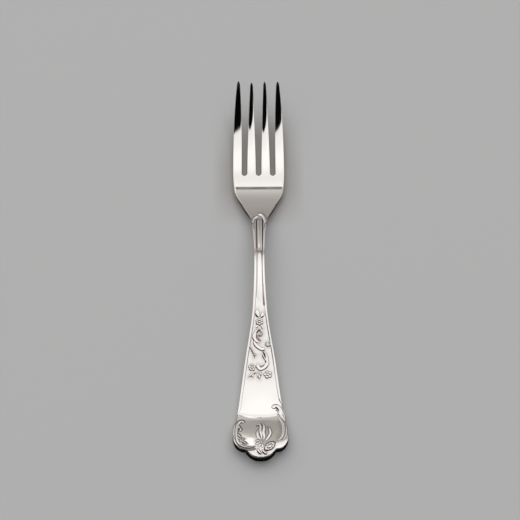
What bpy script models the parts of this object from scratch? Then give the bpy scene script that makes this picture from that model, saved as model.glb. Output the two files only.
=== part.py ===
"""Baby fork in polished silver: four tines, a reeded stem and a handle with struck relief.

The fork lies on a table. Its length runs along Y, from the handle end (-Y) to the tine tips (+Y), its front
face looks up (+Z), and the origin is on the table under the middle of its length. A station s is a distance
along the fork, measured from the handle end. All sizes are in metres.
"""

from math import cos, pi, radians, sin, sqrt, tan

import bmesh
import bpy
from mathutils import Vector

# Lengths of the fork's zones, from the handle end to the tips; the end has a foot lobe, side lobes and sides
FOOT_LOBE_HEIGHT = 0.00315
SIDE_LOBE_HEIGHT = 0.00475
END_SIDE_LENGTH = 0.00665
BLADE_LENGTH = 0.042
STEM_LENGTH = 0.034
SHOULDER_LENGTH = 0.017
PALM_LENGTH = 0.0075
TINE_LENGTH = 0.0355

# Widths of the front face
FOOT_LOBE_WIDTH = 0.0104
END_WIDTH = 0.0185
BLADE_FOOT_WIDTH = 0.0162
BLADE_MID_WIDTH = 0.01045
BLADE_TOP_WIDTH = 0.00475
STEM_WIDTH = 0.0036
NECK_WIDTH = 0.00495
SHOULDER_MID_WIDTH = 0.01185
PALM_BACK_WIDTH = 0.01815
HEAD_WIDTH = 0.01878

# Thicknesses
END_THICKNESS = 0.0026
BLADE_THICKNESS = 0.0022
STEM_THICKNESS = 0.0028
PALM_THICKNESS = 0.0017
TIP_THICKNESS = 0.0010
EDGE_EASE = 0.0003

# Side profile of the back: the handle end turns up, the stem arches, the head rests and the tips rise
END_TURN_UP = radians(8)
END_BEND = 0.004
ARCH_RISE = 0.0052
TIP_RISE = 0.0097
REST_FLAT = 0.002
HEAD_REST_SETBACK = 0.001

# Tines
TINE_COUNT = 4
SLOT_WIDTH = 0.00187
TIP_PITCH = 0.00485
TIP_WIDTH = 0.0010
TIP_ROUND = 0.0012
TIP_BLUNTNESS = 0.85
OUTER_TAPER = 3.0
INNER_TAPER = 1.6

# Roundness of the handle end's foot lobe: 2 is a parabola, more is squarer
FOOT_LOBE_POWER = 2.5

# Reeding: a thread along each edge and a ridge down the middle of the stem
THREAD_WIDTH = 0.0006
THREAD_HEIGHT = 0.0003
THREAD_INSET = 0.0001
LEFT_THREAD_FOOT = 0.0025
RIGHT_THREAD_FOOT = 0.0062
RIDGE_WIDTH = 0.0013
RIDGE_HEIGHT = 0.00035
REED_SETBACK = 0.0010

# Struck relief
FIELD_MARGIN = 0.0002
SCROLL_WIDTH = 0.0008
SCROLL_HEIGHT = 0.00040
TWIG_WIDTH = 0.0005
LEAF_WIDTH = 0.0010
LEAF_HEIGHT = 0.00035
BORDER_WIDTH = 0.0009
PLUME_WIDTH = 0.0012
FLOWER_HEIGHT = 0.00045
FLOWER_PETALS = 5
PETAL_DEPTH = 0.28
ROSETTE_PETALS = 9
PEARL_RADIUS = 0.00045
UPPER_FLOWER_RADIUS = 0.00105
LEFT_FLOWER_RADIUS = 0.00115
RIGHT_FLOWER_RADIUS = 0.00135
ROSETTE_RADIUS = 0.0012
KNOT_RADIUS = 0.0006

# Facets of a raised line's half-round section, of a flower's dome and of each of its petals
BEAD_SIDES = 4
DOME_RINGS = 4
PETAL_SIDES = 4

# Share of a raised line's width that is left at its ends
LEAF_TIP = 0.2
SCROLL_TIP = 0.35
NECK_SCROLL_TIP = 0.6

# Roughness and brightness of the silver: mirror-polished body, reeding, struck relief
POLISHED = (0.08, 0.93)
REEDED = (0.12, 0.90)
STRUCK = (0.16, 0.88)
WARMTH = 0.985

# Clearances between neighbours
SEAM_GAP = 0.0001
RELIEF_GAP = 0.00005

# Spacing of the lofts' sections
BODY_STEP = 0.0022
RELIEF_STEP = 0.0007
ARC_STEPS = 7
SLOT_END_SIDES = 28

# Stations of the lobes and of the seams between the zones
LOBE_STATION = FOOT_LOBE_HEIGHT + SIDE_LOBE_HEIGHT
END_LENGTH = LOBE_STATION + END_SIDE_LENGTH
BLADE_START = END_LENGTH
STEM_START = BLADE_START + BLADE_LENGTH
SHOULDER_START = STEM_START + STEM_LENGTH
PALM_START = SHOULDER_START + SHOULDER_LENGTH
TINE_START = PALM_START + PALM_LENGTH
FORK_LENGTH = TINE_START + TINE_LENGTH

# Stations of the two flats that the fork rests on, and of the top of the stem's arch
HANDLE_REST = (END_LENGTH + END_BEND, END_LENGTH + END_BEND + REST_FLAT)
HEAD_REST = (TINE_START - HEAD_REST_SETBACK - REST_FLAT, TINE_START - HEAD_REST_SETBACK)
ARCH_TOP = STEM_START + STEM_LENGTH / 2

HALF_WIDTHS = (
    (LOBE_STATION, END_WIDTH / 2),
    (BLADE_START, BLADE_FOOT_WIDTH / 2),
    (BLADE_START + BLADE_LENGTH / 2, BLADE_MID_WIDTH / 2),
    (STEM_START, BLADE_TOP_WIDTH / 2),
    (ARCH_TOP, STEM_WIDTH / 2),
    (SHOULDER_START, NECK_WIDTH / 2),
    (SHOULDER_START + SHOULDER_LENGTH / 2, SHOULDER_MID_WIDTH / 2),
    (PALM_START, PALM_BACK_WIDTH / 2),
    (TINE_START, HEAD_WIDTH / 2),
)


def clear_scene():
    """Remove every object of the open scene."""
    for item in list(bpy.data.objects):
        bpy.data.objects.remove(item, do_unlink=True)


def ease(share):
    """Smooth step from 0 to 1, level at both ends."""
    share = min(max(share, 0.0), 1.0)
    return share * share * (3 - 2 * share)


def between(s, low, high):
    """Share of the way from station low to station high."""
    return (s - low) / (high - low)


def joint_slope(before, after):
    """Slope of a monotone curve at a station, from the slopes of the chords on each side."""
    if before * after <= 0:
        return 0.0
    return 2 * before * after / (before + after)


def smooth_through(stations, s):
    """Value at s of the monotone cubic curve through (station, value) pairs."""
    chords = [(b[1] - a[1]) / (b[0] - a[0]) for a, b in zip(stations, stations[1:])]
    slopes = [0.0] + [joint_slope(a, b) for a, b in zip(chords, chords[1:])] + [chords[-1]]
    last = len(chords) - 1
    index = 0
    while index < last and s > stations[index + 1][0]:
        index += 1
    (start, low), (stop, high) = stations[index], stations[index + 1]
    run = stop - start
    t = min(max((s - start) / run, 0.0), 1.0)
    blend = ease(t)
    lean = run * t * (1 - t) * ((1 - t) * slopes[index] - t * slopes[index + 1])
    return low + (high - low) * blend + lean


def half_width(s):
    """Half the width of the front face at station s, from the end's side lobes to the tine roots."""
    return smooth_through(HALF_WIDTHS, s)


def sole(s):
    """Height of the back over the table at station s."""
    if s < HANDLE_REST[0]:
        back = HANDLE_REST[0] - s
        bent = min(back, END_BEND)
        return tan(END_TURN_UP) * (bent * bent / (2 * END_BEND) + back - bent)
    if s < ARCH_TOP:
        return ARCH_RISE * ease(between(s, HANDLE_REST[1], ARCH_TOP))
    if s < HEAD_REST[0]:
        return ARCH_RISE * ease(between(s, HEAD_REST[0], ARCH_TOP))
    return TIP_RISE * max(between(s, HEAD_REST[1], FORK_LENGTH), 0.0) ** 2


def thickness(s):
    """Thickness of the metal at station s."""
    if s < HANDLE_REST[0]:
        share = ease(between(s, END_LENGTH, HANDLE_REST[0]))
        return END_THICKNESS + (BLADE_THICKNESS - END_THICKNESS) * share
    if s < ARCH_TOP:
        share = ease(between(s, HANDLE_REST[1], ARCH_TOP))
        return BLADE_THICKNESS + (STEM_THICKNESS - BLADE_THICKNESS) * share
    if s < HEAD_REST[0]:
        share = ease(between(s, ARCH_TOP, HEAD_REST[0]))
        return STEM_THICKNESS + (PALM_THICKNESS - STEM_THICKNESS) * share
    share = ease(between(s, HEAD_REST[1], FORK_LENGTH))
    return PALM_THICKNESS + (TIP_THICKNESS - PALM_THICKNESS) * share


def crest(s):
    """Height of the front face over the table at station s."""
    return sole(s) + thickness(s)


def on_front(x, s, lift=0.0):
    """Point over the front face, lift above it."""
    return Vector((x, s - FORK_LENGTH / 2, crest(s) + lift))


def stations_along(low, high, step, breaks=()):
    """Stations from low to high, at most step apart, with the breaks among them."""
    stops = [low] + [b for b in sorted(breaks) if low < b < high] + [high]
    places = [low]
    for start, stop in zip(stops, stops[1:]):
        count = max(1, round((stop - start) / step))
        places += [start + (stop - start) * (i + 1) / count for i in range(count)]
    return places


def silver(name, finish):
    """Silver of one finish for one piece."""
    roughness, tone = finish
    material = bpy.data.materials.new(name + "_silver")
    material.use_nodes = True
    shader = material.node_tree.nodes["Principled BSDF"]
    shader.inputs["Base Color"].default_value = (tone, tone, tone * WARMTH, 1.0)
    shader.inputs["Metallic"].default_value = 1.0
    shader.inputs["Roughness"].default_value = roughness
    return material


def add_piece(name, bm, origin, parent, finish):
    """Make a named object of a mesh that is drawn around origin."""
    bmesh.ops.recalc_face_normals(bm, faces=bm.faces)
    mesh = bpy.data.meshes.new(name)
    bm.to_mesh(mesh)
    bm.free()
    piece = bpy.data.objects.new(name, mesh)
    piece.location = origin
    piece.parent = parent
    bpy.context.collection.objects.link(piece)
    mesh.materials.append(silver(name, finish))
    return piece


def loft(name, sections, parent, finish=POLISHED):
    """Solid that grows from its first section through the others, each extruded from the one before."""
    origin = sections[0][0].copy()
    bm = bmesh.new()
    face = bm.faces.new([bm.verts.new(point - origin) for point in sections[0]])
    for index, section in enumerate(sections[1:]):
        base = face
        grown = bmesh.ops.extrude_face_region(bm, geom=[base])["geom"]
        face = next(item for item in grown if isinstance(item, bmesh.types.BMFace))
        for corner, point in zip(face.verts, section):
            corner.co = point - origin
        if index > 0:
            bmesh.ops.delete(bm, geom=[base], context="FACES_ONLY")
    return add_piece(name, bm, origin, parent, finish)


def slab_section(s, centre, half, thick):
    """Eight-sided section of the body at station s, with eased edges."""
    top = crest(s)
    low = top - thick
    soft = min(EDGE_EASE, thick / 4, half / 3)
    y = s - FORK_LENGTH / 2
    outline = (
        (-half + soft, top), (half - soft, top), (half, top - soft), (half, low + soft),
        (half - soft, low), (-half + soft, low), (-half, low + soft), (-half, top - soft),
    )
    return [Vector((centre + x, y, z)) for x, z in outline]


def body_zone(name, low, high, parent, breaks=(), step=BODY_STEP):
    """Zone of the body between two seams."""
    places = stations_along(low + SEAM_GAP / 2, high - SEAM_GAP / 2, step, breaks)
    return loft(name, [slab_section(s, 0.0, half_width(s), thickness(s)) for s in places], parent)


def tine_root_width():
    """Width of one tine where it leaves the palm."""
    return (HEAD_WIDTH - (TINE_COUNT - 1) * SLOT_WIDTH) / TINE_COUNT


def tine_section(index, s):
    """Section of one tine at station s."""
    climb = between(s, TINE_START, FORK_LENGTH)
    place = index - (TINE_COUNT - 1) / 2
    is_outer = index in (0, TINE_COUNT - 1)
    root = tine_root_width()
    root_centre = place * (root + SLOT_WIDTH)
    centre = root_centre + (place * TIP_PITCH - root_centre) * climb ** 2
    width = root + (TIP_WIDTH - root) * climb ** (OUTER_TAPER if is_outer else INNER_TAPER)
    nose = max(0.0, between(s, FORK_LENGTH - TIP_ROUND, FORK_LENGTH))
    rounding = sqrt(1 - TIP_BLUNTNESS * nose ** 2)
    return slab_section(s, centre, width / 2 * rounding, thickness(s) * rounding)


def make_tines(parent):
    """The four tines, each a curved taper with a rounded tip."""
    first = TINE_START + SEAM_GAP / 2
    places = stations_along(first, FORK_LENGTH, BODY_STEP, [FORK_LENGTH - TIP_ROUND])
    places[-1:] = [FORK_LENGTH - TIP_ROUND / 2, FORK_LENGTH - TIP_ROUND / 6, FORK_LENGTH]
    for index in range(TINE_COUNT):
        loft(f"tine_{index + 1}", [tine_section(index, s) for s in places], parent)


def make_palm(parent):
    """Palm of the head, with a half-round slot end between each two tines."""
    palm = body_zone("palm", PALM_START, TINE_START, parent, HEAD_REST)
    pitch = tine_root_width() + SLOT_WIDTH
    for index in range(TINE_COUNT - 1):
        bm = bmesh.new()
        bmesh.ops.create_cone(bm, cap_ends=True, segments=SLOT_END_SIDES, radius1=SLOT_WIDTH / 2,
                              radius2=SLOT_WIDTH / 2, depth=PALM_THICKNESS * 4)
        across = (index - (TINE_COUNT - 2) / 2) * pitch
        origin = on_front(across, TINE_START - SEAM_GAP / 2)
        cutter = add_piece(f"slot_cutter_{index + 1}", bm, origin, parent, POLISHED)
        cutter.hide_render = True
        cutter.display_type = "WIRE"
        slot = palm.modifiers.new(f"slot_{index + 1}", "BOOLEAN")
        slot.operation = "DIFFERENCE"
        slot.solver = "EXACT"
        slot.object = cutter


def end_outline():
    """Right half of the handle end's outline, from the seam down to the middle of the foot lobe."""
    seam = END_LENGTH - SEAM_GAP / 2
    side = [(half_width(s), s) for s in reversed(stations_along(LOBE_STATION, seam, BODY_STEP))]
    notch = FOOT_LOBE_WIDTH / 2
    lobe = []
    foot = []
    for step in range(1, ARC_STEPS + 1):
        angle = pi / 2 * step / ARC_STEPS
        x = notch + (END_WIDTH / 2 - notch) * cos(angle)
        lobe.append((x, LOBE_STATION - SIDE_LOBE_HEIGHT * sin(angle)))
        share = 1 - step / ARC_STEPS
        foot.append((notch * share, FOOT_LOBE_HEIGHT * share ** FOOT_LOBE_POWER))
    return side + lobe + foot


def make_handle_end(parent):
    """Flat lobed end of the handle, turned up, with eased edges."""
    right = end_outline()
    left = [(-x, s) for x, s in reversed(right[:-1])]
    outline = right + left
    soft = min(EDGE_EASE, END_THICKNESS / 4)
    inset = 1 - soft / END_LENGTH
    middle = END_LENGTH / 2
    levels = ((-END_THICKNESS, inset), (soft - END_THICKNESS, 1.0), (-soft, 1.0), (0.0, inset))
    sections = []
    for lift, share in levels:
        sections.append([on_front(x * share, middle + (s - middle) * share, lift) for x, s in outline])
    loft("handle_end", sections, parent)


def smooth_path(points, step):
    """Points of a smooth curve through a few drawn points, about step apart, as (x, s) pairs."""
    guide = [Vector(p) for p in points]
    guide = [guide[0] * 2 - guide[1]] + guide + [guide[-1] * 2 - guide[-2]]
    path = [guide[1]]
    for a, b, c, d in zip(guide, guide[1:], guide[2:], guide[3:]):
        count = max(2, round((c - b).length / step))
        for i in range(1, count + 1):
            t = i / count
            bend = (a * 2 - b * 5 + c * 4 - d) * t * t + (b * 3 - a - c * 3 + d) * t ** 3
            path.append((b * 2 + (c - a) * t + bend) / 2)
    return path


def bead_section(point, side, half, height):
    """Half-round section of a raised line, across the direction side."""
    section = []
    for corner in range(BEAD_SIDES + 1):
        angle = pi * corner / BEAD_SIDES
        place = point - side * (half * cos(angle))
        section.append(on_front(place.x, place.y, RELIEF_GAP + height * sin(angle)))
    return section


def stroke(name, points, width, height, parent, tip=SCROLL_TIP):
    """Raised line through drawn points, widest in the middle; tip is the share of the width at its ends."""
    path = smooth_path(points, RELIEF_STEP)
    last = len(path) - 1
    sections = []
    for index, point in enumerate(path):
        run = path[min(index + 1, last)] - path[max(index - 1, 0)]
        side = Vector((run.y, -run.x)).normalized()
        swell = tip + (1 - tip) * sqrt(sin(pi * index / last) if 0 < index < last else 0.0)
        sections.append(bead_section(point, side, width / 2 * swell, height * swell))
    return loft(name, sections, parent, STRUCK)


def flower(name, centre, radius, parent, petals=FLOWER_PETALS):
    """Raised flower: a domed form with a petalled outline."""
    x, s = centre
    corners = petals * PETAL_SIDES
    sections = []
    for level in range(DOME_RINGS):
        slope = pi / 2 * level / DOME_RINGS
        share = cos(slope)
        lift = RELIEF_GAP + FLOWER_HEIGHT * sin(slope)
        ring = []
        for corner in range(corners):
            angle = 2 * pi * corner / corners
            dip = PETAL_DEPTH * share * (1 - cos(petals * angle)) / 2
            reach = radius * share * (1 - dip)
            ring.append(on_front(x + reach * cos(angle), s + reach * sin(angle), lift))
        sections.append(ring)
    return loft(name, sections, parent, STRUCK)


def make_reeding(parent):
    """Edge threads from the handle end to the neck, and the ridge down the stem."""
    top = SHOULDER_START - REED_SETBACK
    threads = (("edge_thread_left", -1, LEFT_THREAD_FOOT), ("edge_thread_right", 1, RIGHT_THREAD_FOOT))
    for name, sign, foot in threads:
        sections = []
        for s in stations_along(END_LENGTH + foot, top, BODY_STEP, HANDLE_REST):
            x = sign * (half_width(s) - EDGE_EASE - THREAD_INSET - THREAD_WIDTH / 2)
            sections.append(bead_section(Vector((x, s)), Vector((1, 0)), THREAD_WIDTH / 2, THREAD_HEIGHT))
        loft(name, sections, parent, REEDED)
    sections = []
    for s in stations_along(STEM_START + REED_SETBACK, top, BODY_STEP):
        point = Vector((0, s))
        sections.append(bead_section(point, Vector((1, 0)), RIDGE_WIDTH / 2, RIDGE_HEIGHT))
    loft("stem_ridge", sections, parent, REEDED)


def make_neck_scrolls(parent):
    """Two scrolls that close the reeding where the stem meets the shoulder."""
    reach = NECK_WIDTH / 2

    def at_neck(across, up):
        return across * reach, SHOULDER_START + up

    left = [at_neck(-0.74, 0.0004), at_neck(-0.78, 0.0016), at_neck(-0.5, 0.0027), at_neck(-0.12, 0.0029)]
    right = [at_neck(0.74, 0.0004), at_neck(0.82, 0.0022), at_neck(0.5, 0.0038), at_neck(0.0, 0.0044)]
    stroke("neck_scroll_left", left, SCROLL_WIDTH, SCROLL_HEIGHT, parent, NECK_SCROLL_TIP)
    stroke("neck_scroll_right", right, SCROLL_WIDTH, SCROLL_HEIGHT, parent, NECK_SCROLL_TIP)


def on_blade(across, down):
    """Place on the blade's field: a share of its half width, and a distance below the stem."""
    s = STEM_START - down
    field = half_width(s) - EDGE_EASE - THREAD_INSET - THREAD_WIDTH - FIELD_MARGIN
    return across * field, s


def make_blade_relief(parent):
    """Spray of flowers, leaves and scrolls down the blade."""
    leaf = (LEAF_WIDTH, LEAF_HEIGHT, parent, LEAF_TIP)
    scroll = (SCROLL_WIDTH, SCROLL_HEIGHT, parent)
    twig = (TWIG_WIDTH, LEAF_HEIGHT, parent)
    stroke("bud", [on_blade(-0.35, 0.0023), on_blade(-0.25, 0.0035), on_blade(-0.14, 0.0047)], *leaf)
    stroke("bud_leaf", [on_blade(0.6, 0.0036), on_blade(0.42, 0.0043), on_blade(0.25, 0.0049)], *twig)
    flower("upper_flower", on_blade(-0.05, 0.0064), UPPER_FLOWER_RADIUS, parent)
    c_scroll = [on_blade(0.16, 0.0093), on_blade(-0.34, 0.0095), on_blade(-0.62, 0.0115),
                on_blade(-0.42, 0.0130), on_blade(0.06, 0.0135)]
    stroke("c_scroll", c_scroll, *scroll)
    flower("scroll_pearl", on_blade(-0.05, 0.0112), PEARL_RADIUS, parent)
    tail = [on_blade(-0.62, 0.0139), on_blade(-0.2, 0.0150), on_blade(0.14, 0.0157), on_blade(0.42, 0.0157)]
    stroke("tail_scroll", tail, *scroll)
    curl = [on_blade(0.88, 0.0128), on_blade(0.64, 0.0135), on_blade(0.64, 0.0148), on_blade(0.86, 0.0152)]
    stroke("side_curl", curl, *twig)
    sprig = [on_blade(-0.84, 0.0158), on_blade(-0.70, 0.0169), on_blade(-0.57, 0.0181),
             on_blade(-0.48, 0.0193)]
    stroke("sprig", sprig, *twig)
    s_scroll = [on_blade(0.18, 0.0169), on_blade(0.48, 0.0182), on_blade(0.46, 0.0195),
                on_blade(0.56, 0.0208), on_blade(0.42, 0.0224), on_blade(0.10, 0.0231),
                on_blade(-0.06, 0.0222), on_blade(-0.02, 0.0212)]
    stroke("s_scroll", s_scroll, *scroll)
    flower("left_flower", on_blade(-0.65, 0.0226), LEFT_FLOWER_RADIUS, parent)
    spray = [on_blade(-0.34, 0.0246), on_blade(-0.56, 0.0247), on_blade(-0.76, 0.0258)]
    stroke("spray_leaf", spray, *leaf)
    left_drop = [on_blade(-0.15, 0.0243), on_blade(-0.17, 0.0252), on_blade(-0.16, 0.0261)]
    stroke("left_pendant", left_drop, *twig)
    right_drop = [on_blade(0.07, 0.0243), on_blade(0.09, 0.0251), on_blade(0.08, 0.0258)]
    stroke("right_pendant", right_drop, *twig)
    flower("right_flower", on_blade(0.58, 0.0252), RIGHT_FLOWER_RADIUS, parent)


def on_end(across, up):
    """Place on the handle end: a share of its half width, and a share of its length from the foot."""
    s = up * END_LENGTH
    return across * half_width(s), s


def make_end_relief(parent):
    """Border scrolls, plume, knot, rosette and foot leaf on the handle end."""
    border = (BORDER_WIDTH, SCROLL_HEIGHT, parent)
    plume = (PLUME_WIDTH, LEAF_HEIGHT, parent, LEAF_TIP)
    left = [on_end(-0.66, 0.99), on_end(-0.84, 0.84), on_end(-0.88, 0.63), on_end(-0.80, 0.46),
            on_end(-0.62, 0.34), on_end(-0.26, 0.28)]
    stroke("end_scroll_left", left, *border)
    right = [on_end(0.62, 1.35), on_end(0.82, 1.34), on_end(0.90, 1.20), on_end(0.91, 1.04),
             on_end(0.88, 0.82), on_end(0.82, 0.58)]
    stroke("end_scroll_right", right, *border)
    stroke("plume_middle", [on_end(0.02, 0.48), on_end(0.03, 0.70), on_end(0.02, 0.93)], *plume)
    stroke("plume_left", [on_end(-0.14, 0.47), on_end(-0.22, 0.66), on_end(-0.19, 0.86)], *plume)
    stroke("plume_right", [on_end(0.17, 0.44), on_end(0.29, 0.62), on_end(0.26, 0.84)], *plume)
    flower("plume_knot", on_end(-0.01, 0.34), KNOT_RADIUS, parent)
    flower("end_rosette", on_end(0.34, 0.27), ROSETTE_RADIUS, parent, ROSETTE_PETALS)
    stroke("foot_leaf", [on_end(-0.04, 0.15), on_end(0.05, 0.10), on_end(0.16, 0.075)], TWIG_WIDTH,
           LEAF_HEIGHT, parent)


def main():
    """Build the fork, zone by zone, under one empty."""
    clear_scene()
    fork = bpy.data.objects.new("fork", None)
    bpy.context.collection.objects.link(fork)
    make_tines(fork)
    make_palm(fork)
    body_zone("shoulder", SHOULDER_START, PALM_START, fork)
    body_zone("stem", STEM_START, SHOULDER_START, fork)
    body_zone("blade", BLADE_START, STEM_START, fork, HANDLE_REST)
    make_handle_end(fork)
    make_reeding(fork)
    make_neck_scrolls(fork)
    make_blade_relief(fork)
    make_end_relief(fork)


main()
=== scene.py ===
"""Baby fork in polished silver, dressed around its frame: struck body, reeding, relief, studio and camera.

The fork lies along Y with its handle end at -Y and its front face up. A place on it is (x, s): x across the
fork and s along it from a datum just inside the handle end, both in millimetres. Meshes are in metres.
"""

from __future__ import annotations

import logging
import math
from dataclasses import dataclass, field, replace
from enum import Enum
from typing import Callable, Sequence

import bpy
import numpy as np
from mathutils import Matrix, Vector
from mathutils.geometry import delaunay_2d_cdt

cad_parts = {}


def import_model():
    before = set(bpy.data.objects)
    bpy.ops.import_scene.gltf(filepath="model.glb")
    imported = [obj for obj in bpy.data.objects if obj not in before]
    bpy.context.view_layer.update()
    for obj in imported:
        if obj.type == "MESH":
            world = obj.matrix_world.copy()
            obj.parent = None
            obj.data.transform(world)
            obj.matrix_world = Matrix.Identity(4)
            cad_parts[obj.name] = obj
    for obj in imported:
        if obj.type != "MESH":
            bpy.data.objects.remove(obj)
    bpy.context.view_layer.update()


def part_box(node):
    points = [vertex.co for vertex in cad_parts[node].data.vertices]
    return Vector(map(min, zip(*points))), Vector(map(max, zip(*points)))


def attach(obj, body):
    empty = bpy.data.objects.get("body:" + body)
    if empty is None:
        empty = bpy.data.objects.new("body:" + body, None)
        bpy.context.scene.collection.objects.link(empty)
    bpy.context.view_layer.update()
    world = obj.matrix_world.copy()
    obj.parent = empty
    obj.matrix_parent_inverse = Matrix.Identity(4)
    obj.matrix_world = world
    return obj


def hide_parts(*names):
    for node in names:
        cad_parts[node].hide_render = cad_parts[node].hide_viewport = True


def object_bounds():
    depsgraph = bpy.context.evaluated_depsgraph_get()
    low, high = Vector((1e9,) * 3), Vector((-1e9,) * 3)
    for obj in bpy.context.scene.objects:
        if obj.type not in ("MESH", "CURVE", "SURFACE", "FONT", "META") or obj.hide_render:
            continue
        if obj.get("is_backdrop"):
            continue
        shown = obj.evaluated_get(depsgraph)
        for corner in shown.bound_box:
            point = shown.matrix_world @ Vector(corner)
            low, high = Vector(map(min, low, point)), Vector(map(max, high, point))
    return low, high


LOG = logging.getLogger("baby_fork")
MM = 0.001
BODY = "root"
# Vertex attribute that mixes the silver towards its tarnish colour: patina in the hollows, and painted shade
# along edges, grooves and fields.
PATINA_AND_SHADE = "patina_and_shade"
RELIEF_CREASE = 60.0
TINY = 1e-6
FULL_TURN = 360.0
FILL_INSIDE = 1
WHITE = (1.0, 1.0, 1.0)
NONE_TO_FULL = (0.0, 1.0)

Place = tuple[float, float]
Span = tuple[float, float]
Triple = tuple[float, float, float]
Socket = bpy.types.NodeSocket


def ease(share: np.ndarray) -> np.ndarray:
    """Smooth step from 0 to 1, level at both ends."""
    share = np.clip(share, 0.0, 1.0)
    return share * share * (3.0 - 2.0 * share)


def between(s: np.ndarray, low: float, high: float) -> np.ndarray:
    """Share of the way from low to high."""
    return (s - low) / (high - low)


def eased_travel(share: np.ndarray) -> np.ndarray:
    """Way travelled when the pace grows from 0 to 1 by the smooth step and then stays."""
    start = np.clip(share, 0.0, 1.0)
    return start ** 3 - start ** 4 / 2 + np.maximum(share - 1.0, 0.0)


def softened(curve: Callable[[np.ndarray], np.ndarray], s: np.ndarray, reach: float) -> np.ndarray:
    """Rolling mean of a curve, which takes the jumps in bend out of a mirror finish.

    Args:
        curve: Height along the fork, as a function of the station.
        s: Stations in millimetres.
        reach: Half the width of the mean.

    Returns:
        The softened heights.
    """
    weights = (1.0, 4.0, 6.0, 4.0, 1.0)
    steps = np.linspace(-reach, reach, len(weights))
    total = sum(weight * curve(s + step) for weight, step in zip(weights, steps))
    return total / sum(weights)


@dataclass(frozen=True)
class PaintedShade:
    """Painted shade: a dark patch across the fork that stands in for a dark reflection, fading both ways
    along it.
    """

    station: float
    reach: float
    strength: float

    def at(self, s: np.ndarray) -> np.ndarray:
        """Strength of the painted shade at each station."""
        return self.strength * np.exp(-((s - self.station) / self.reach) ** 2)


NO_PAINTED_SHADE = PaintedShade(station=0.0, reach=1.0, strength=0.0)


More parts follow.
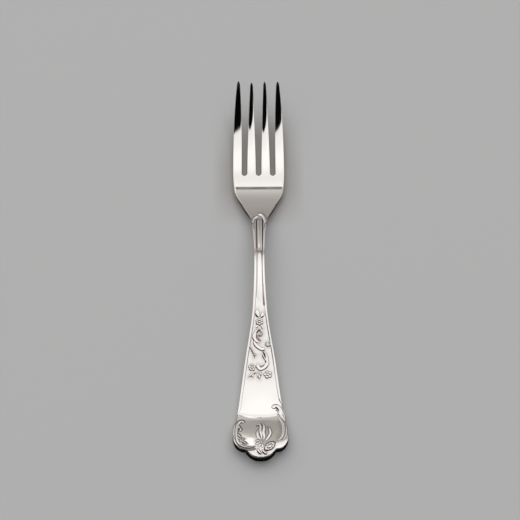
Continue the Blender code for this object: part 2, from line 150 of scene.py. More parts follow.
@dataclass(frozen=True)
class ForkForm:
    """Plan and side profile of the fork, in millimetres; the stations come from the frame's seams."""

    datum: float
    length: float
    end_length: float
    stem_start: float
    shoulder_start: float
    palm_start: float
    tine_start: float

    lobe_station: float = 7.35
    foot_reach: float = 0.55
    foot_lobe_height: float = 3.15
    foot_lobe_width: float = 10.4
    foot_lobe_power: float = 2.5
    end_width: float = 18.5
    blade_foot_width: float = 16.2
    blade_mid_width: float = 10.45
    blade_top_width: float = 4.75
    stem_width: float = 3.6
    neck_width: float = 4.95
    shoulder_mid_width: float = 11.85
    palm_back_width: float = 18.15
    head_width: float = 18.78

    end_thickness: float = 3.2
    blade_thickness: float = 2.2
    stem_thickness: float = 2.8
    palm_thickness: float = 1.7
    tip_thickness: float = 1.0

    end_turn_up: float = math.radians(13.5)
    end_bend: float = 3.2
    end_rolls: tuple[Triple, ...] = ((12.0, 8.0, 0.25), (4.2, 3.0, 1.15))
    end_bow: float = 2.2
    end_dome: float = 0.5
    end_dome_reach: float = 8.0
    end_spine: float = 0.025
    end_spine_round: float = 0.3
    end_dome_fade: Span = (26.0, 12.0)
    arch_rise: float = 5.2
    neck_swell: float = 0.2
    neck_swell_station: float = 87.0
    neck_swell_reach: float = 5.0
    tip_rise: float = 9.7
    rest_flat: float = 2.0
    head_rest_setback: float = 1.0
    profile_reach: float = 1.2

    tine_count: int = 4
    slot_width: float = 1.87
    tip_pitch: float = 4.85
    tip_width: float = 1.0
    tip_round: float = 1.5
    tip_bluntness: float = 0.85
    outer_taper: float = 3.0
    inner_taper: float = 1.6
    tine_crowns: tuple[float, ...] = (0.06, 0.17, 0.18, 0.11)
    tine_bends: tuple[float, ...] = (0.3, -0.6, -0.1, -0.1)
    crown_reach: float = 1.3
    crown_start: float = 1.0
    crown_fade: float = 9.0

    rim_stations: tuple[float, ...] = (0.0, 12.0, 24.0, 88.0, 93.0, 100.0, 107.0, 112.0, 143.0, 149.0)
    rim_widths: tuple[float, ...] = (0.40, 0.40, 0.30, 0.30, 0.45, 0.65, 0.45, 0.18, 0.14, 0.12)
    rim_depths: tuple[float, ...] = (0.75, 0.70, 0.55, 0.60, 0.80, 0.80, 0.60, 0.30, 0.25, 0.20)
    rim_powers: tuple[float, ...] = (1.30, 1.20, 1.0, 1.0, 1.0, 1.0, 1.0, 1.0, 1.0, 1.0)

    @classmethod
    def from_frame(cls) -> ForkForm:
        """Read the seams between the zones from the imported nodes.

        Returns:
            The form, with each seam halfway between its two nodes.
        """
        low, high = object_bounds()
        start = low[1] + cls.foot_reach * MM

        def seam(before: str, after: str) -> float:
            """Station halfway between two nodes."""
            middle = (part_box(before)[1].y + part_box(after)[0].y) / 2
            return round((middle - start) / MM, 2)

        return cls(
            datum=start / MM,
            length=round((high[1] - start) / MM, 2),
            end_length=seam("handle_end", "blade"),
            stem_start=seam("blade", "stem"),
            shoulder_start=seam("stem", "shoulder"),
            palm_start=seam("shoulder", "palm"),
            tine_start=seam("palm", "tine_1"),
        )

    @property
    def arch_top(self) -> float:
        """Station of the top of the stem's arch."""
        return (self.stem_start + self.shoulder_start) / 2

    @property
    def handle_rest(self) -> Span:
        """Stations between which the handle lies on the table."""
        first = self.end_length + self.end_bend
        return first, first + self.rest_flat

    @property
    def head_rest(self) -> Span:
        """Stations between which the head lies on the table."""
        last = self.tine_start - self.head_rest_setback
        return last - self.rest_flat, last

    def half_width(self, s: np.ndarray) -> np.ndarray:
        """Half the width of the front face, on a monotone cubic through the driving widths.

        Args:
            s: Stations from the end's side lobes to the tine roots.

        Returns:
            Half widths in millimetres.
        """
        driving = np.array([
            (self.lobe_station, self.end_width),
            (self.end_length, self.blade_foot_width),
            ((self.end_length + self.stem_start) / 2, self.blade_mid_width),
            (self.stem_start, self.blade_top_width),
            (self.arch_top, self.stem_width),
            (self.shoulder_start, self.neck_width),
            ((self.shoulder_start + self.palm_start) / 2, self.shoulder_mid_width),
            (self.palm_start, self.palm_back_width),
            (self.tine_start, self.head_width),
        ])
        stations, widths = driving[:, 0], driving[:, 1] / 2
        chords = np.diff(widths) / np.diff(stations)
        before, after = chords[:-1], chords[1:]
        rising = before * after > 0
        total = np.where(rising, before + after, 1.0)
        inner = np.where(rising, 2 * before * after / total, 0.0)
        slopes = np.concatenate([[0.0], inner, [chords[-1]]])
        s = np.asarray(s, float)
        index = np.clip(np.searchsorted(stations, s) - 1, 0, len(chords) - 1)
        run = (stations[1:] - stations[:-1])[index]
        t = np.clip((s - stations[index]) / run, 0.0, 1.0)
        lean = run * t * (1 - t) * ((1 - t) * slopes[index] - t * slopes[index + 1])
        return widths[index] + (widths[index + 1] - widths[index]) * ease(t) + lean

    def _sole(self, s: np.ndarray, bow: np.ndarray) -> np.ndarray:
        """Height of the back over the table, for an even blade.

        Args:
            s: Stations along the fork.
            bow: How far the fold of the handle end is moved up.

        Returns:
            Heights in millimetres.
        """
        handle_first, handle_last = self.handle_rest
        head_first, head_last = self.head_rest
        climb = self.end_bend * eased_travel((handle_first + bow - s) / self.end_bend)
        for start, run, share in self.end_rolls:
            climb = climb - share * run * eased_travel((start + bow - s) / run)
        end = math.tan(self.end_turn_up) * climb
        handle = self.arch_rise * ease(between(s, handle_last, self.arch_top))
        head = self.arch_rise * ease(between(s, head_first, self.arch_top))
        tips = self.tip_rise * np.maximum(between(s, head_last, self.length), 0.0) ** 2
        zones = [s < handle_last, s < self.arch_top, s < head_first]
        return np.select(zones, [end, handle, head], tips)

    def _thickness(self, s: np.ndarray) -> np.ndarray:
        """Thickness of the metal.

        Args:
            s: Stations along the fork.

        Returns:
            Thicknesses in millimetres.
        """
        handle_first, handle_last = self.handle_rest
        head_first, head_last = self.head_rest

        def blend(low: float, high: float, start: float, stop: float) -> np.ndarray:
            """Eased change from one thickness to another between two stations."""
            return low + (high - low) * ease(between(s, start, stop))

        zones = [s < handle_first, s < self.arch_top, s < head_first]
        return np.select(zones, [
            blend(self.end_thickness, self.blade_thickness, self.end_length, handle_first),
            blend(self.blade_thickness, self.stem_thickness, handle_last, self.arch_top),
            blend(self.stem_thickness, self.palm_thickness, self.arch_top, head_first),
        ], blend(self.palm_thickness, self.tip_thickness, head_last, self.length))

    def tine_line(self, index: int, s: np.ndarray) -> tuple[np.ndarray, np.ndarray]:
        """Middle and half width of one tine, before its tip is rounded.

        Args:
            index: Tine number from the left, from 0.
            s: Stations from the tine roots to the tips.

        Returns:
            The tine's middle and its half width at each station.
        """
        climb = np.clip(between(s, self.tine_start, self.length), 0.0, 1.0)
        place = index - (self.tine_count - 1) / 2
        root = (self.head_width - (self.tine_count - 1) * self.slot_width) / self.tine_count
        root_middle = place * (root + self.slot_width)
        middle = root_middle + (place * self.tip_pitch - root_middle) * climb ** 2
        power = self.outer_taper if index in (0, self.tine_count - 1) else self.inner_taper
        return middle, (root + (self.tip_width - root) * climb ** power) / 2

    def _nearest_tine(self, x: np.ndarray, s: np.ndarray) -> tuple[np.ndarray, np.ndarray]:
        """Find the tine at each place.

        Args:
            x: Places across the fork.
            s: Stations along it.

        Returns:
            The tine's number from the left, and the share of the way from its middle to its edge.
        """
        lines = [self.tine_line(index, s) for index in range(self.tine_count)]
        shares = np.stack([np.abs(x - middle) / half for middle, half in lines])
        return shares.argmin(axis=0), np.minimum(shares.min(axis=0), self.crown_reach)

    def _crown(self, x: np.ndarray, s: np.ndarray) -> np.ndarray:
        """Fall of a tine's rounded front from its middle to its edges.

        Args:
            x: Places across the fork.
            s: Stations along it.

        Returns:
            Falls in millimetres.
        """
        number, share = self._nearest_tine(x, s)
        fade = ease(between(s, self.tine_start - self.crown_start, self.tine_start + self.crown_fade))
        return np.take(self.tine_crowns, number) * share ** 2 * fade

    def _bend(self, x: np.ndarray, s: np.ndarray) -> np.ndarray:
        """How far each tine is bent up by use, from its root to its tip.

        Args:
            x: Places across the fork.
            s: Stations along it.

        Returns:
            Heights in millimetres, negative where a tine is bent down.
        """
        number, _ = self._nearest_tine(x, s)
        climb = np.clip(between(s, self.tine_start, self.length), 0.0, 1.0)
        return np.take(self.tine_bends, number) * climb ** 2

    def _dome(self, x: np.ndarray, s: np.ndarray) -> np.ndarray:
        """Fall of the handle end's cushion from its middle to its sides.

        Args:
            x: Places across the fork.
            s: Stations along it.

        Returns:
            Falls in millimetres.
        """
        spine = self.end_spine * (np.hypot(x, self.end_spine_round) - self.end_spine_round)
        cushion = self.end_dome * (x / self.end_dome_reach) ** 2
        return (cushion + spine) * ease(between(s, *self.end_dome_fade))

    def bow(self, x: np.ndarray) -> np.ndarray:
        """How far the fold of the handle end runs up towards its sides."""
        return self.end_bow * (x / self.end_dome_reach) ** 2

    def _crest(self, x: np.ndarray, s: np.ndarray) -> np.ndarray:
        """Height of the front along the fork; the end's extra thickness goes to its back.

        Args:
            x: Places across the fork.
            s: Stations along it.

        Returns:
            Heights in millimetres, before the tines' crowns and the end's cushion.
        """
        bow = self.bow(x)

        def profile(at: np.ndarray) -> np.ndarray:
            """Height of the front before it is softened."""
            on_end = at < self.handle_rest[0]
            return self._sole(at, bow) + np.where(on_end, self.blade_thickness, self._thickness(at))

        swell = self.neck_swell * np.exp(-((s - self.neck_swell_station) / self.neck_swell_reach) ** 2)
        return softened(profile, s, self.profile_reach) + swell + self._bend(x, s)

    def front(self, x: np.ndarray, s: np.ndarray) -> np.ndarray:
        """Height of the front face over the table."""
        return self._crest(x, s) - self._crown(x, s) - self._dome(x, s)

    def back(self, x: np.ndarray, s: np.ndarray) -> np.ndarray:
        """Height of the back over the table, drawn in at the tine tips.

        Args:
            x: Places across the fork.
            s: Stations along it.

        Returns:
            Heights in millimetres.
        """
        nose = np.clip(between(s, self.length - self.tip_round, self.length), 0.0, 1.0)
        drawn_in = np.sqrt(1 - self.tip_bluntness * nose ** 2)
        thick = softened(self._thickness, s, self.profile_reach) * drawn_in
        return np.maximum(self._crest(x, s) - thick, 0.0)

    def rim(self, s: np.ndarray, turn: float) -> tuple[np.ndarray, np.ndarray]:
        """Place on the rounded edge at one turn, from level at its outside to upright at the face.

        Args:
            s: Stations along the edge.
            turn: Turn in radians, from 0 outside to a quarter turn at the face.

        Returns:
            How far in from the edge and how far below the face the place lies.
        """
        width, depth, power = (np.interp(s, self.rim_stations, values)
                               for values in (self.rim_widths, self.rim_depths, self.rim_powers))
        return width * (1 - math.cos(turn) ** power), depth * (1 - math.sin(turn) ** power)

    def to_world(self, x: np.ndarray, s: np.ndarray, z: np.ndarray) -> np.ndarray:
        """Points in metres in the frame of the CAD part."""
        return np.stack([x, s + self.datum, z], axis=-1) * MM


@dataclass(frozen=True)
class Silver:
    """One finish of the fork's silver; the scales of its patterns are per metre."""

    name: str
    slot: str
    tone: Triple
    warm_tone: Triple
    tarnish_and_shade: Triple
    roughness: Span
    tarnish_roughness: float = 0.30
    drift_scale: float = 220.0
    drift_detail: float = 3.0
    blotch_scale: float = 2600.0
    blotch_detail: float = 2.0
    noise_span: Span = (0.3, 0.7)
    worn_tones: Span = (0.90, 1.0)
    stroke_scale: Triple = (7000.0, 500.0, 7000.0)
    stroke_detail: float = 1.0
    scratch_strength: float = 0.05
    scratch_depth: float = 0.01

    def material(self) -> bpy.types.Material:
        """Make the node material, once.

        Returns:
            The material, with polishing scratches, faint colour drift, and a dark tarnish colour brought in
            by the pieces' darkening attribute: patina in the hollows and painted shade.
        """
        found = bpy.data.materials.get(self.name)
        if found:
            return found
        material = bpy.data.materials.new(self.name)
        material.use_nodes = True
        graph = NodeGraph(material.node_tree)
        shader = material.node_tree.nodes["Principled BSDF"]
        shader.inputs["Metallic"].default_value = 1.0
        place = graph.add("ShaderNodeTexCoord").outputs["Object"]
        patina_and_shade = graph.add("ShaderNodeAttribute", attribute_name=PATINA_AND_SHADE).outputs["Fac"]

        drift = graph.noise(place, self.drift_scale, self.drift_detail)
        clean = graph.mix_colour(drift, self.tone, self.warm_tone)
        blotch = graph.noise(place, self.blotch_scale, self.blotch_detail)
        worn = graph.ranged(blotch, self.noise_span, self.worn_tones)
        # Patina and painted shade: the attribute mixes the clean silver towards the tarnish colour, a little
        # unevenly.
        stain = graph.math("MULTIPLY", patina_and_shade, worn)
        graph.link(graph.mix_colour(stain, clean, self.tarnish_and_shade), shader.inputs["Base Color"])

        haze = graph.ranged(drift, self.noise_span, self.roughness)
        graph.link(graph.mix_value(stain, haze, self.tarnish_roughness), shader.inputs["Roughness"])

        strokes = graph.add("ShaderNodeMapping")
        strokes.inputs["Scale"].default_value = self.stroke_scale
        graph.link(place, strokes.inputs["Vector"])
        scratches = graph.noise(strokes.outputs["Vector"], scale=1.0, detail=self.stroke_detail)
        bump = graph.add("ShaderNodeBump")
        bump.inputs["Strength"].default_value = self.scratch_strength
        bump.inputs["Distance"].default_value = self.scratch_depth * MM
        graph.link(scratches, bump.inputs["Height"])
        graph.link(bump.outputs["Normal"], shader.inputs["Normal"])
        return material


class NodeGraph:
    """Shorthand for wiring a node tree."""

    def __init__(self, tree: bpy.types.NodeTree) -> None:
        """Keep the tree that nodes are added to."""
        self.tree = tree

    def add(self, kind: str, **options: object) -> bpy.types.Node:
        """Add a node and set its options.

        Args:
            kind: Blender's name for the kind of node.
            options: Settings of the node, by name.

        Returns:
            The new node.
        """
        node = self.tree.nodes.new(kind)
        for name, value in options.items():
            setattr(node, name, value)
        return node

    def link(self, source: Socket, target: Socket) -> None:
        """Join an output to an input."""
        self.tree.links.new(source, target)

    def noise(self, place: Socket, scale: float, detail: float) -> Socket:
        """Add noise.

        Args:
            place: Where the noise is read.
            scale: How fine it is.
            detail: How many finer layers it has.

        Returns:
            The noise, from 0 to 1.
        """
        node = self.add("ShaderNodeTexNoise")
        node.inputs["Scale"].default_value = scale
        node.inputs["Detail"].default_value = detail
        self.link(place, node.inputs["Vector"])
        return node.outputs["Fac"]

    def ranged(self, value: Socket, source: Span, target: Span, smooth: bool = False) -> Socket:
        """Carry a value from one range to another, clamped.

        Args:
            value: The value to carry.
            source: Low and high end of its range; they may fall.
            target: What these ends become.
            smooth: Whether the ends are eased.

        Returns:
            The carried value.
        """
        node = self.add("ShaderNodeMapRange", interpolation_type="SMOOTHSTEP" if smooth else "LINEAR")
        self.link(value, node.inputs["Value"])
        node.inputs["From Min"].default_value, node.inputs["From Max"].default_value = source
        node.inputs["To Min"].default_value, node.inputs["To Max"].default_value = target
        return node.outputs["Result"]

    def inside(self, value: Socket, edges: tuple[Span, Span]) -> Socket:
        """Full between two soft edges, each given from outside in, and nothing beyond them."""
        first, last = (self.ranged(value, edge, NONE_TO_FULL) for edge in edges)
        return self.math("MULTIPLY", first, last)

    def math(self, operation: str, *values: Socket | float) -> Socket:
        """Work out one operation.

        Args:
            operation: Blender's name for it.
            values: What it acts on, sockets or numbers.

        Returns:
            The result.
        """
        node = self.add("ShaderNodeMath", operation=operation)
        self._feed(values, node.inputs)
        return node.outputs["Value"]

    def mix_value(self, share: Socket, *values: Socket | float) -> Socket:
        """Mix two values.

        Args:
            share: Share of the second value.
            values: The two values, sockets or numbers.

        Returns:
            The mix.
        """
        node = self.add("ShaderNodeMix", data_type="FLOAT")
        self.link(share, node.inputs["Factor"])
        self._feed(values, (node.inputs["A"], node.inputs["B"]))
        return node.outputs["Result"]

    def _feed(self, values: Sequence[Socket | float], sockets: Sequence[Socket]) -> None:
        """Set or link each value to its socket.

        Args:
            values: Sockets or numbers.
            sockets: Where each of them goes.
        """
        for value, socket in zip(values, sockets):
            if isinstance(value, (int, float)):
                socket.default_value = value
            else:
                self.link(value, socket)

    def ramp(self, value: Socket, stops: Sequence[Span]) -> Socket:
        """Grey levels between stops.

        Args:
            value: Place along the stops, from 0 to 1.
            stops: Places with their grey levels.

        Returns:
            The level.
        """
        node = self.add("ShaderNodeValToRGB")
        elements = node.color_ramp.elements
        while len(elements) < len(stops):
            elements.new(1.0)
        for element, (place, tone) in zip(elements, stops):
            element.position = place
            element.color = (tone, tone, tone, 1.0)
        self.link(value, node.inputs["Fac"])
        return node.outputs["Color"]

    def mix_colour(self, share: Socket, *colours: object) -> Socket:
        """Mix two colours.

        Args:
            share: Share of the second colour.
            colours: The two colours, sockets or three numbers each.

        Returns:
            The mix.
        """
        node = self.add("ShaderNodeMix", data_type="RGBA")
        self.link(share, node.inputs["Factor"])
        inputs = [socket for socket in node.inputs if socket.type == "RGBA"]
        for colour, socket in zip(colours, inputs):
            if isinstance(colour, tuple):
                socket.default_value = (*colour, 1.0)
            else:
                self.link(colour, socket)
        return next(socket for socket in node.outputs if socket.type == "RGBA")


MIRROR_SILVER = Silver(
    name="mirror_silver",
    slot="polished_silver",
    tone=(0.965, 0.943, 0.915),
    warm_tone=(0.950, 0.900, 0.868),
    tarnish_and_shade=(0.29, 0.215, 0.165),
    roughness=(0.035, 0.075),
)
RELIEF_SILVER = Silver(
    name="relief_silver_finish",
    slot="relief_silver",
    tone=(0.965, 0.940, 0.912),
    warm_tone=(0.945, 0.895, 0.860),
    tarnish_and_shade=(0.21, 0.102, 0.066),
    roughness=(0.05, 0.10),
)
# Darker tarnish colour for the neck's ribs and the end's relief, whose dark lines are partly patina and
# partly painted shade.
DARK_PATINA_AND_SHADE_SILVER = replace(RELIEF_SILVER, name="dark_patina_and_shade_finish", tarnish_and_shade=(0.070, 0.034, 0.021))


def deselect_all() -> None:
    """Leave nothing selected, so that an operator acts on the new piece alone."""
    bpy.ops.object.select_all(action="DESELECT")


def coordinates(mesh: bpy.types.Mesh) -> np.ndarray:
    """Read the vertex places of a mesh.

    Args:
        mesh: The mesh to read.

    Returns:
        The places, one row each.
    """
    flat = np.empty(len(mesh.vertices) * 3, np.float32)
    mesh.vertices.foreach_get("co", flat)
    return flat.reshape(-1, 3).astype(float)


def shape(piece: bpy.types.Object, places: np.ndarray, patina_and_shade: np.ndarray) -> None:
    """Move a piece's vertices to their places and note how dark each is painted, for patina and painted
    shade.

    Args:
        piece: The piece to shape.
        places: Where each vertex goes, in metres.
        patina_and_shade: How dark each is painted, from 0 to 1, for patina and painted shade.
    """
    piece.data.vertices.foreach_set("co", places.astype(np.float32).ravel())
    attribute = piece.data.attributes.new(PATINA_AND_SHADE, "FLOAT", "POINT")
    attribute.data.foreach_set("value", np.asarray(patina_and_shade, np.float32).ravel())
    piece.data.update()


def sink_foot(piece: bpy.types.Object, depth: float) -> None:
    """Close a raised sheet into a solid whose foot is sunk in the metal below it.

    Args:
        piece: The sheet, already in place.
        depth: How far its foot goes down, in millimetres.
    """
    deselect_all()
    piece.select_set(True)
    bpy.context.view_layer.objects.active = piece
    bpy.ops.object.mode_set(mode="EDIT")
    bpy.ops.mesh.select_all(action="SELECT")
    bpy.ops.mesh.extrude_region_move(TRANSFORM_OT_translate={"value": (0.0, 0.0, -depth * MM)})
    bpy.ops.mesh.select_all(action="SELECT")
    bpy.ops.mesh.normals_make_consistent(inside=False)
    bpy.ops.object.mode_set(mode="OBJECT")


def dress(piece: bpy.types.Object, finish: Silver, nodes: Sequence[str], crease: float) -> None:
    """Shade a finished piece, give it its silver and tie it to the frame.

    Args:
        piece: The piece, in place.
        finish: Its silver.
        nodes: CAD nodes that it stands for; an added detail has none.
        crease: Angle in degrees past which an edge stays sharp.
    """
    deselect_all()
    piece.select_set(True)
    bpy.context.view_layer.objects.active = piece
    bpy.ops.object.shade_smooth_by_angle(angle=math.radians(crease))
    piece.data.materials.clear()
    piece.data.materials.append(finish.material())
    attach(piece, BODY)
    if nodes:
        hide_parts(*nodes)
    role = ", ".join(nodes) or "a detail"
    LOG.info("%s: %d faces, stands for %s", piece.name, len(piece.data.polygons), role)


def smooth_path(points: Sequence[Place], step: float, fineness: int = 24, least: int = 8) -> np.ndarray:
    """Points of a smooth curve through a few drawn points.

    Args:
        points: Drawn places in millimetres.
        step: Spacing of the points along the curve.
        fineness: Points worked out between two drawn ones.
        least: Fewest steps along the curve.

    Returns:
        The curve, evenly spaced.
    """
    drawn = np.array(points, float)
    guide = np.vstack([2 * drawn[0] - drawn[1], drawn, 2 * drawn[-1] - drawn[-2]])
    fine = []
    for a, b, c, d in zip(guide, guide[1:], guide[2:], guide[3:]):
        t = np.linspace(0.0, 1.0, fineness, endpoint=False)[:, None]
        bend = (2 * a - 5 * b + 4 * c - d) * t ** 2 + (3 * b - a - 3 * c + d) * t ** 3
        fine.append((2 * b + (c - a) * t + bend) / 2)
    curve = np.vstack(fine + [drawn[-1:]])
    travel = np.concatenate([[0.0], np.cumsum(np.linalg.norm(np.diff(curve, axis=0), axis=1))])
    count = max(least, int(round(travel[-1] / step)))
    even = np.linspace(0.0, travel[-1], count + 1)
    return np.stack([np.interp(even, travel, curve[:, axis]) for axis in (0, 1)], axis=1)


@dataclass(frozen=True)
class TarnishAndShade:
    """Darkening of the field round a set of places, fading with distance: grey round the raised figures, and
    painted shade on the handle end.
    """

    places: np.ndarray
    reach: float = 1.0
    strength: float = 0.30

    def at(self, points: np.ndarray, batch: int = 2000) -> np.ndarray:
        """Strength of the grey at each point of the field.

        Args:
            points: Points as rows of x and s.
            batch: How many points are worked out at a time.

        Returns:
            One strength for each point.
        """
        near = [np.linalg.norm(points[start:start + batch, None] - self.places[None], axis=2).min(axis=1)
                for start in range(0, len(points), batch)]
        return self.strength * np.exp(-(np.concatenate(near) / self.reach) ** 2)


@dataclass
class Blank:
    """One zone of the struck blank, with rounded edges, bounded by runs of real edge and by straight seams.

    The front is a mirror, so it is laid out as even triangles between rings that follow the edge.
    """

    name: str
    nodes: tuple[str, ...]
    form: ForkForm
    edges: list[np.ndarray]
    spacing: float
    rim_turns: tuple[float, ...] = (0.0, 12.0, 24.0, 36.0, 48.0, 60.0, 75.0, 90.0)
    crease: float = 45.0
    clearance: float = 0.5
    batch: int = 400
    tarnish_and_shade: tuple[TarnishAndShade, ...] = ()
    edge_stain: PaintedShade = NO_PAINTED_SHADE

    def build(self) -> bpy.types.Object:
        """Lay out the zone, give it its two faces and dress it.

        Returns:
            The finished piece.
        """
        rim, drops, strips, outer, inner = self._rim()
        places = np.vstack([rim, self._lattice(rim, inner)])
        drops = np.concatenate([drops, np.zeros(len(places) - len(rim))])
        faces = strips + self._triangles(places, inner)
        x, s = places[:, 0], places[:, 1]
        top = self.form.to_world(x, s, self.form.front(x, s) - drops)
        bottom = self.form.to_world(x, s, self.form.back(x, s) + drops)
        count = len(places)
        back_faces = [tuple(count + corner for corner in reversed(face)) for face in faces]
        walls = [(b, a, count + a, count + b) for a, b in zip(outer, outer[1:] + outer[:1])]
        mesh = bpy.data.meshes.new(self.name)
        mesh.from_pydata(np.vstack([top, bottom]).tolist(), [], faces + back_faces + walls)
        mesh.validate()
        stain = self._stain(places, drops)
        attribute = mesh.attributes.new(PATINA_AND_SHADE, "FLOAT", "POINT")
        attribute.data.foreach_set("value", np.concatenate([stain, np.zeros(count)]).astype(np.float32))
        piece = bpy.data.objects.new(self.name, mesh)
        bpy.context.scene.collection.objects.link(piece)
        dress(piece, MIRROR_SILVER, self.nodes, self.crease)
        return piece

    def _stain(self, places: np.ndarray, drops: np.ndarray) -> np.ndarray:
        """Darkness of the front: tarnish and painted shade in its field, and painted shade along a run of
        its edge.

        Args:
            places: Points of the front as rows of x and s.
            drops: How far each drops below the face at the edge.

        Returns:
            One strength for each point.
        """
        edge = self.edge_stain.at(places[:, 1]) * (drops > 0)
        return np.max([edge, *(tarnish_and_shade.at(places) for tarnish_and_shade in self.tarnish_and_shade)], axis=0)

    def _rim(self) -> tuple[np.ndarray, np.ndarray, list[tuple[int, ...]], list[int], list[int]]:
        """Rings of points that follow the edge inwards, with the strips between them.

        Returns:
            The points, how far each drops below the face, the strips' faces, the loop of corners round the
            whole zone and the loop round what the rings leave open.
        """
        turns = np.radians(self.rim_turns)
        levels = len(turns)
        points: list[np.ndarray] = []
        drops: list[np.ndarray] = []
        runs: list[np.ndarray] = []
        strips: list[tuple[int, ...]] = []
        total = 0
        for edge in self.edges:
            inward = self._inward(edge)
            for turn in turns:
                inset, drop = self.form.rim(edge[:, 1], turn)
                points.append(edge + inward * inset[:, None])
                drops.append(drop)
            rings = total + np.arange(levels * len(edge)).reshape(levels, len(edge))
            corners = np.stack([rings[:-1, :-1], rings[:-1, 1:], rings[1:, 1:], rings[1:, :-1]], axis=-1)
            strips += [tuple(corner) for corner in corners.reshape(-1, 4).tolist()]
            runs.append(rings)
            total += rings.size
        placed = np.vstack(points)
        outer: list[int] = []
        inner: list[int] = []
        for rings, following in zip(runs, runs[1:] + runs[:1]):
            first, last = placed[rings[-1, -1]], placed[following[-1, 0]]
            count = max(2, int(np.linalg.norm(last - first) / self.spacing))
            points.append(first + (last - first) * np.arange(1, count)[:, None] / count)
            drops.append(np.zeros(count - 1))
            seam = list(range(total, total + count - 1))
            outer += rings[0].tolist() + rings[1:, -1].tolist() + seam + following[:0:-1, 0].tolist()
            inner += rings[-1].tolist() + seam
            total += count - 1
        return np.vstack(points), np.concatenate(drops), strips, outer, inner

    @staticmethod
    def _inward(edge: np.ndarray) -> np.ndarray:
        """Directions that lead in from a run of edge; those at its ends keep to the seam.

        Args:
            edge: Points of the run, with the zone on its left.

        Returns:
            One direction for each point.
        """
        steps = np.diff(edge, axis=0)
        steps /= np.linalg.norm(steps, axis=1)[:, None]
        along = np.vstack([steps[:1], (steps[:-1] + steps[1:]) / 2, steps[-1:]])
        along /= np.linalg.norm(along, axis=1)[:, None]
        inward = np.stack([-along[:, 1], along[:, 0]], axis=1)
        for end in (0, -1):
            inward[end] = (1.0 / inward[end, 0], 0.0)
        return inward

    def _lattice(self, points: np.ndarray, loop: list[int]) -> np.ndarray:
        """Even points that fill the zone inside its rim.

        Args:
            points: Points of the rim and seams.
            loop: Corners round the zone.

        Returns:
            The points of the filling.
        """
        border = points[loop]
        low, high = border.min(axis=0), border.max(axis=0)
        row_step = self.spacing * math.sqrt(0.75)
        rows = []
        for number, s in enumerate(np.arange(low[1] + row_step, high[1], row_step)):
            x = np.arange(low[0] + self.spacing * (number % 2) / 2, high[0], self.spacing)
            rows.append(np.stack([x, np.full(len(x), s)], axis=1))
        filling = np.vstack(rows)
        after = np.roll(border, -1, axis=0)
        crossing = np.zeros(len(filling), int)
        for (ax, a), (bx, b) in zip(border, after):
            if a != b:
                spans = (filling[:, 1] >= min(a, b)) & (filling[:, 1] < max(a, b))
                cut = ax + (filling[:, 1] - a) * (bx - ax) / (b - a)
                crossing += spans & (filling[:, 0] < cut)
        inside = filling[crossing % 2 == 1]
        batches = [border[start:start + self.batch] for start in range(0, len(border), self.batch)]
        gaps = [np.linalg.norm(inside[:, None] - batch[None], axis=2).min(axis=1) for batch in batches]
        return inside[np.min(gaps, axis=0) > self.spacing * self.clearance]

    @staticmethod
    def _triangles(places: np.ndarray, loop: list[int]) -> list[tuple[int, ...]]:
        """Triangles between the points on and inside the loop.

        Args:
            places: All points of the zone.
            loop: Corners round the part to fill.

        Returns:
            The triangles, counter-clockwise.
        """
        rim_size = max(loop) + 1
        chosen = loop + list(range(rim_size, len(places)))
        corners = [Vector(places[number].tolist()) for number in chosen]
        border = list(range(len(loop)))
        _, _, faces, origins, _, _ = delaunay_2d_cdt(corners, [], [border], FILL_INSIDE, TINY)
        number_of = [chosen[sources[0]] for sources in origins]
        return [tuple(number_of[corner] for corner in face) for face in faces]


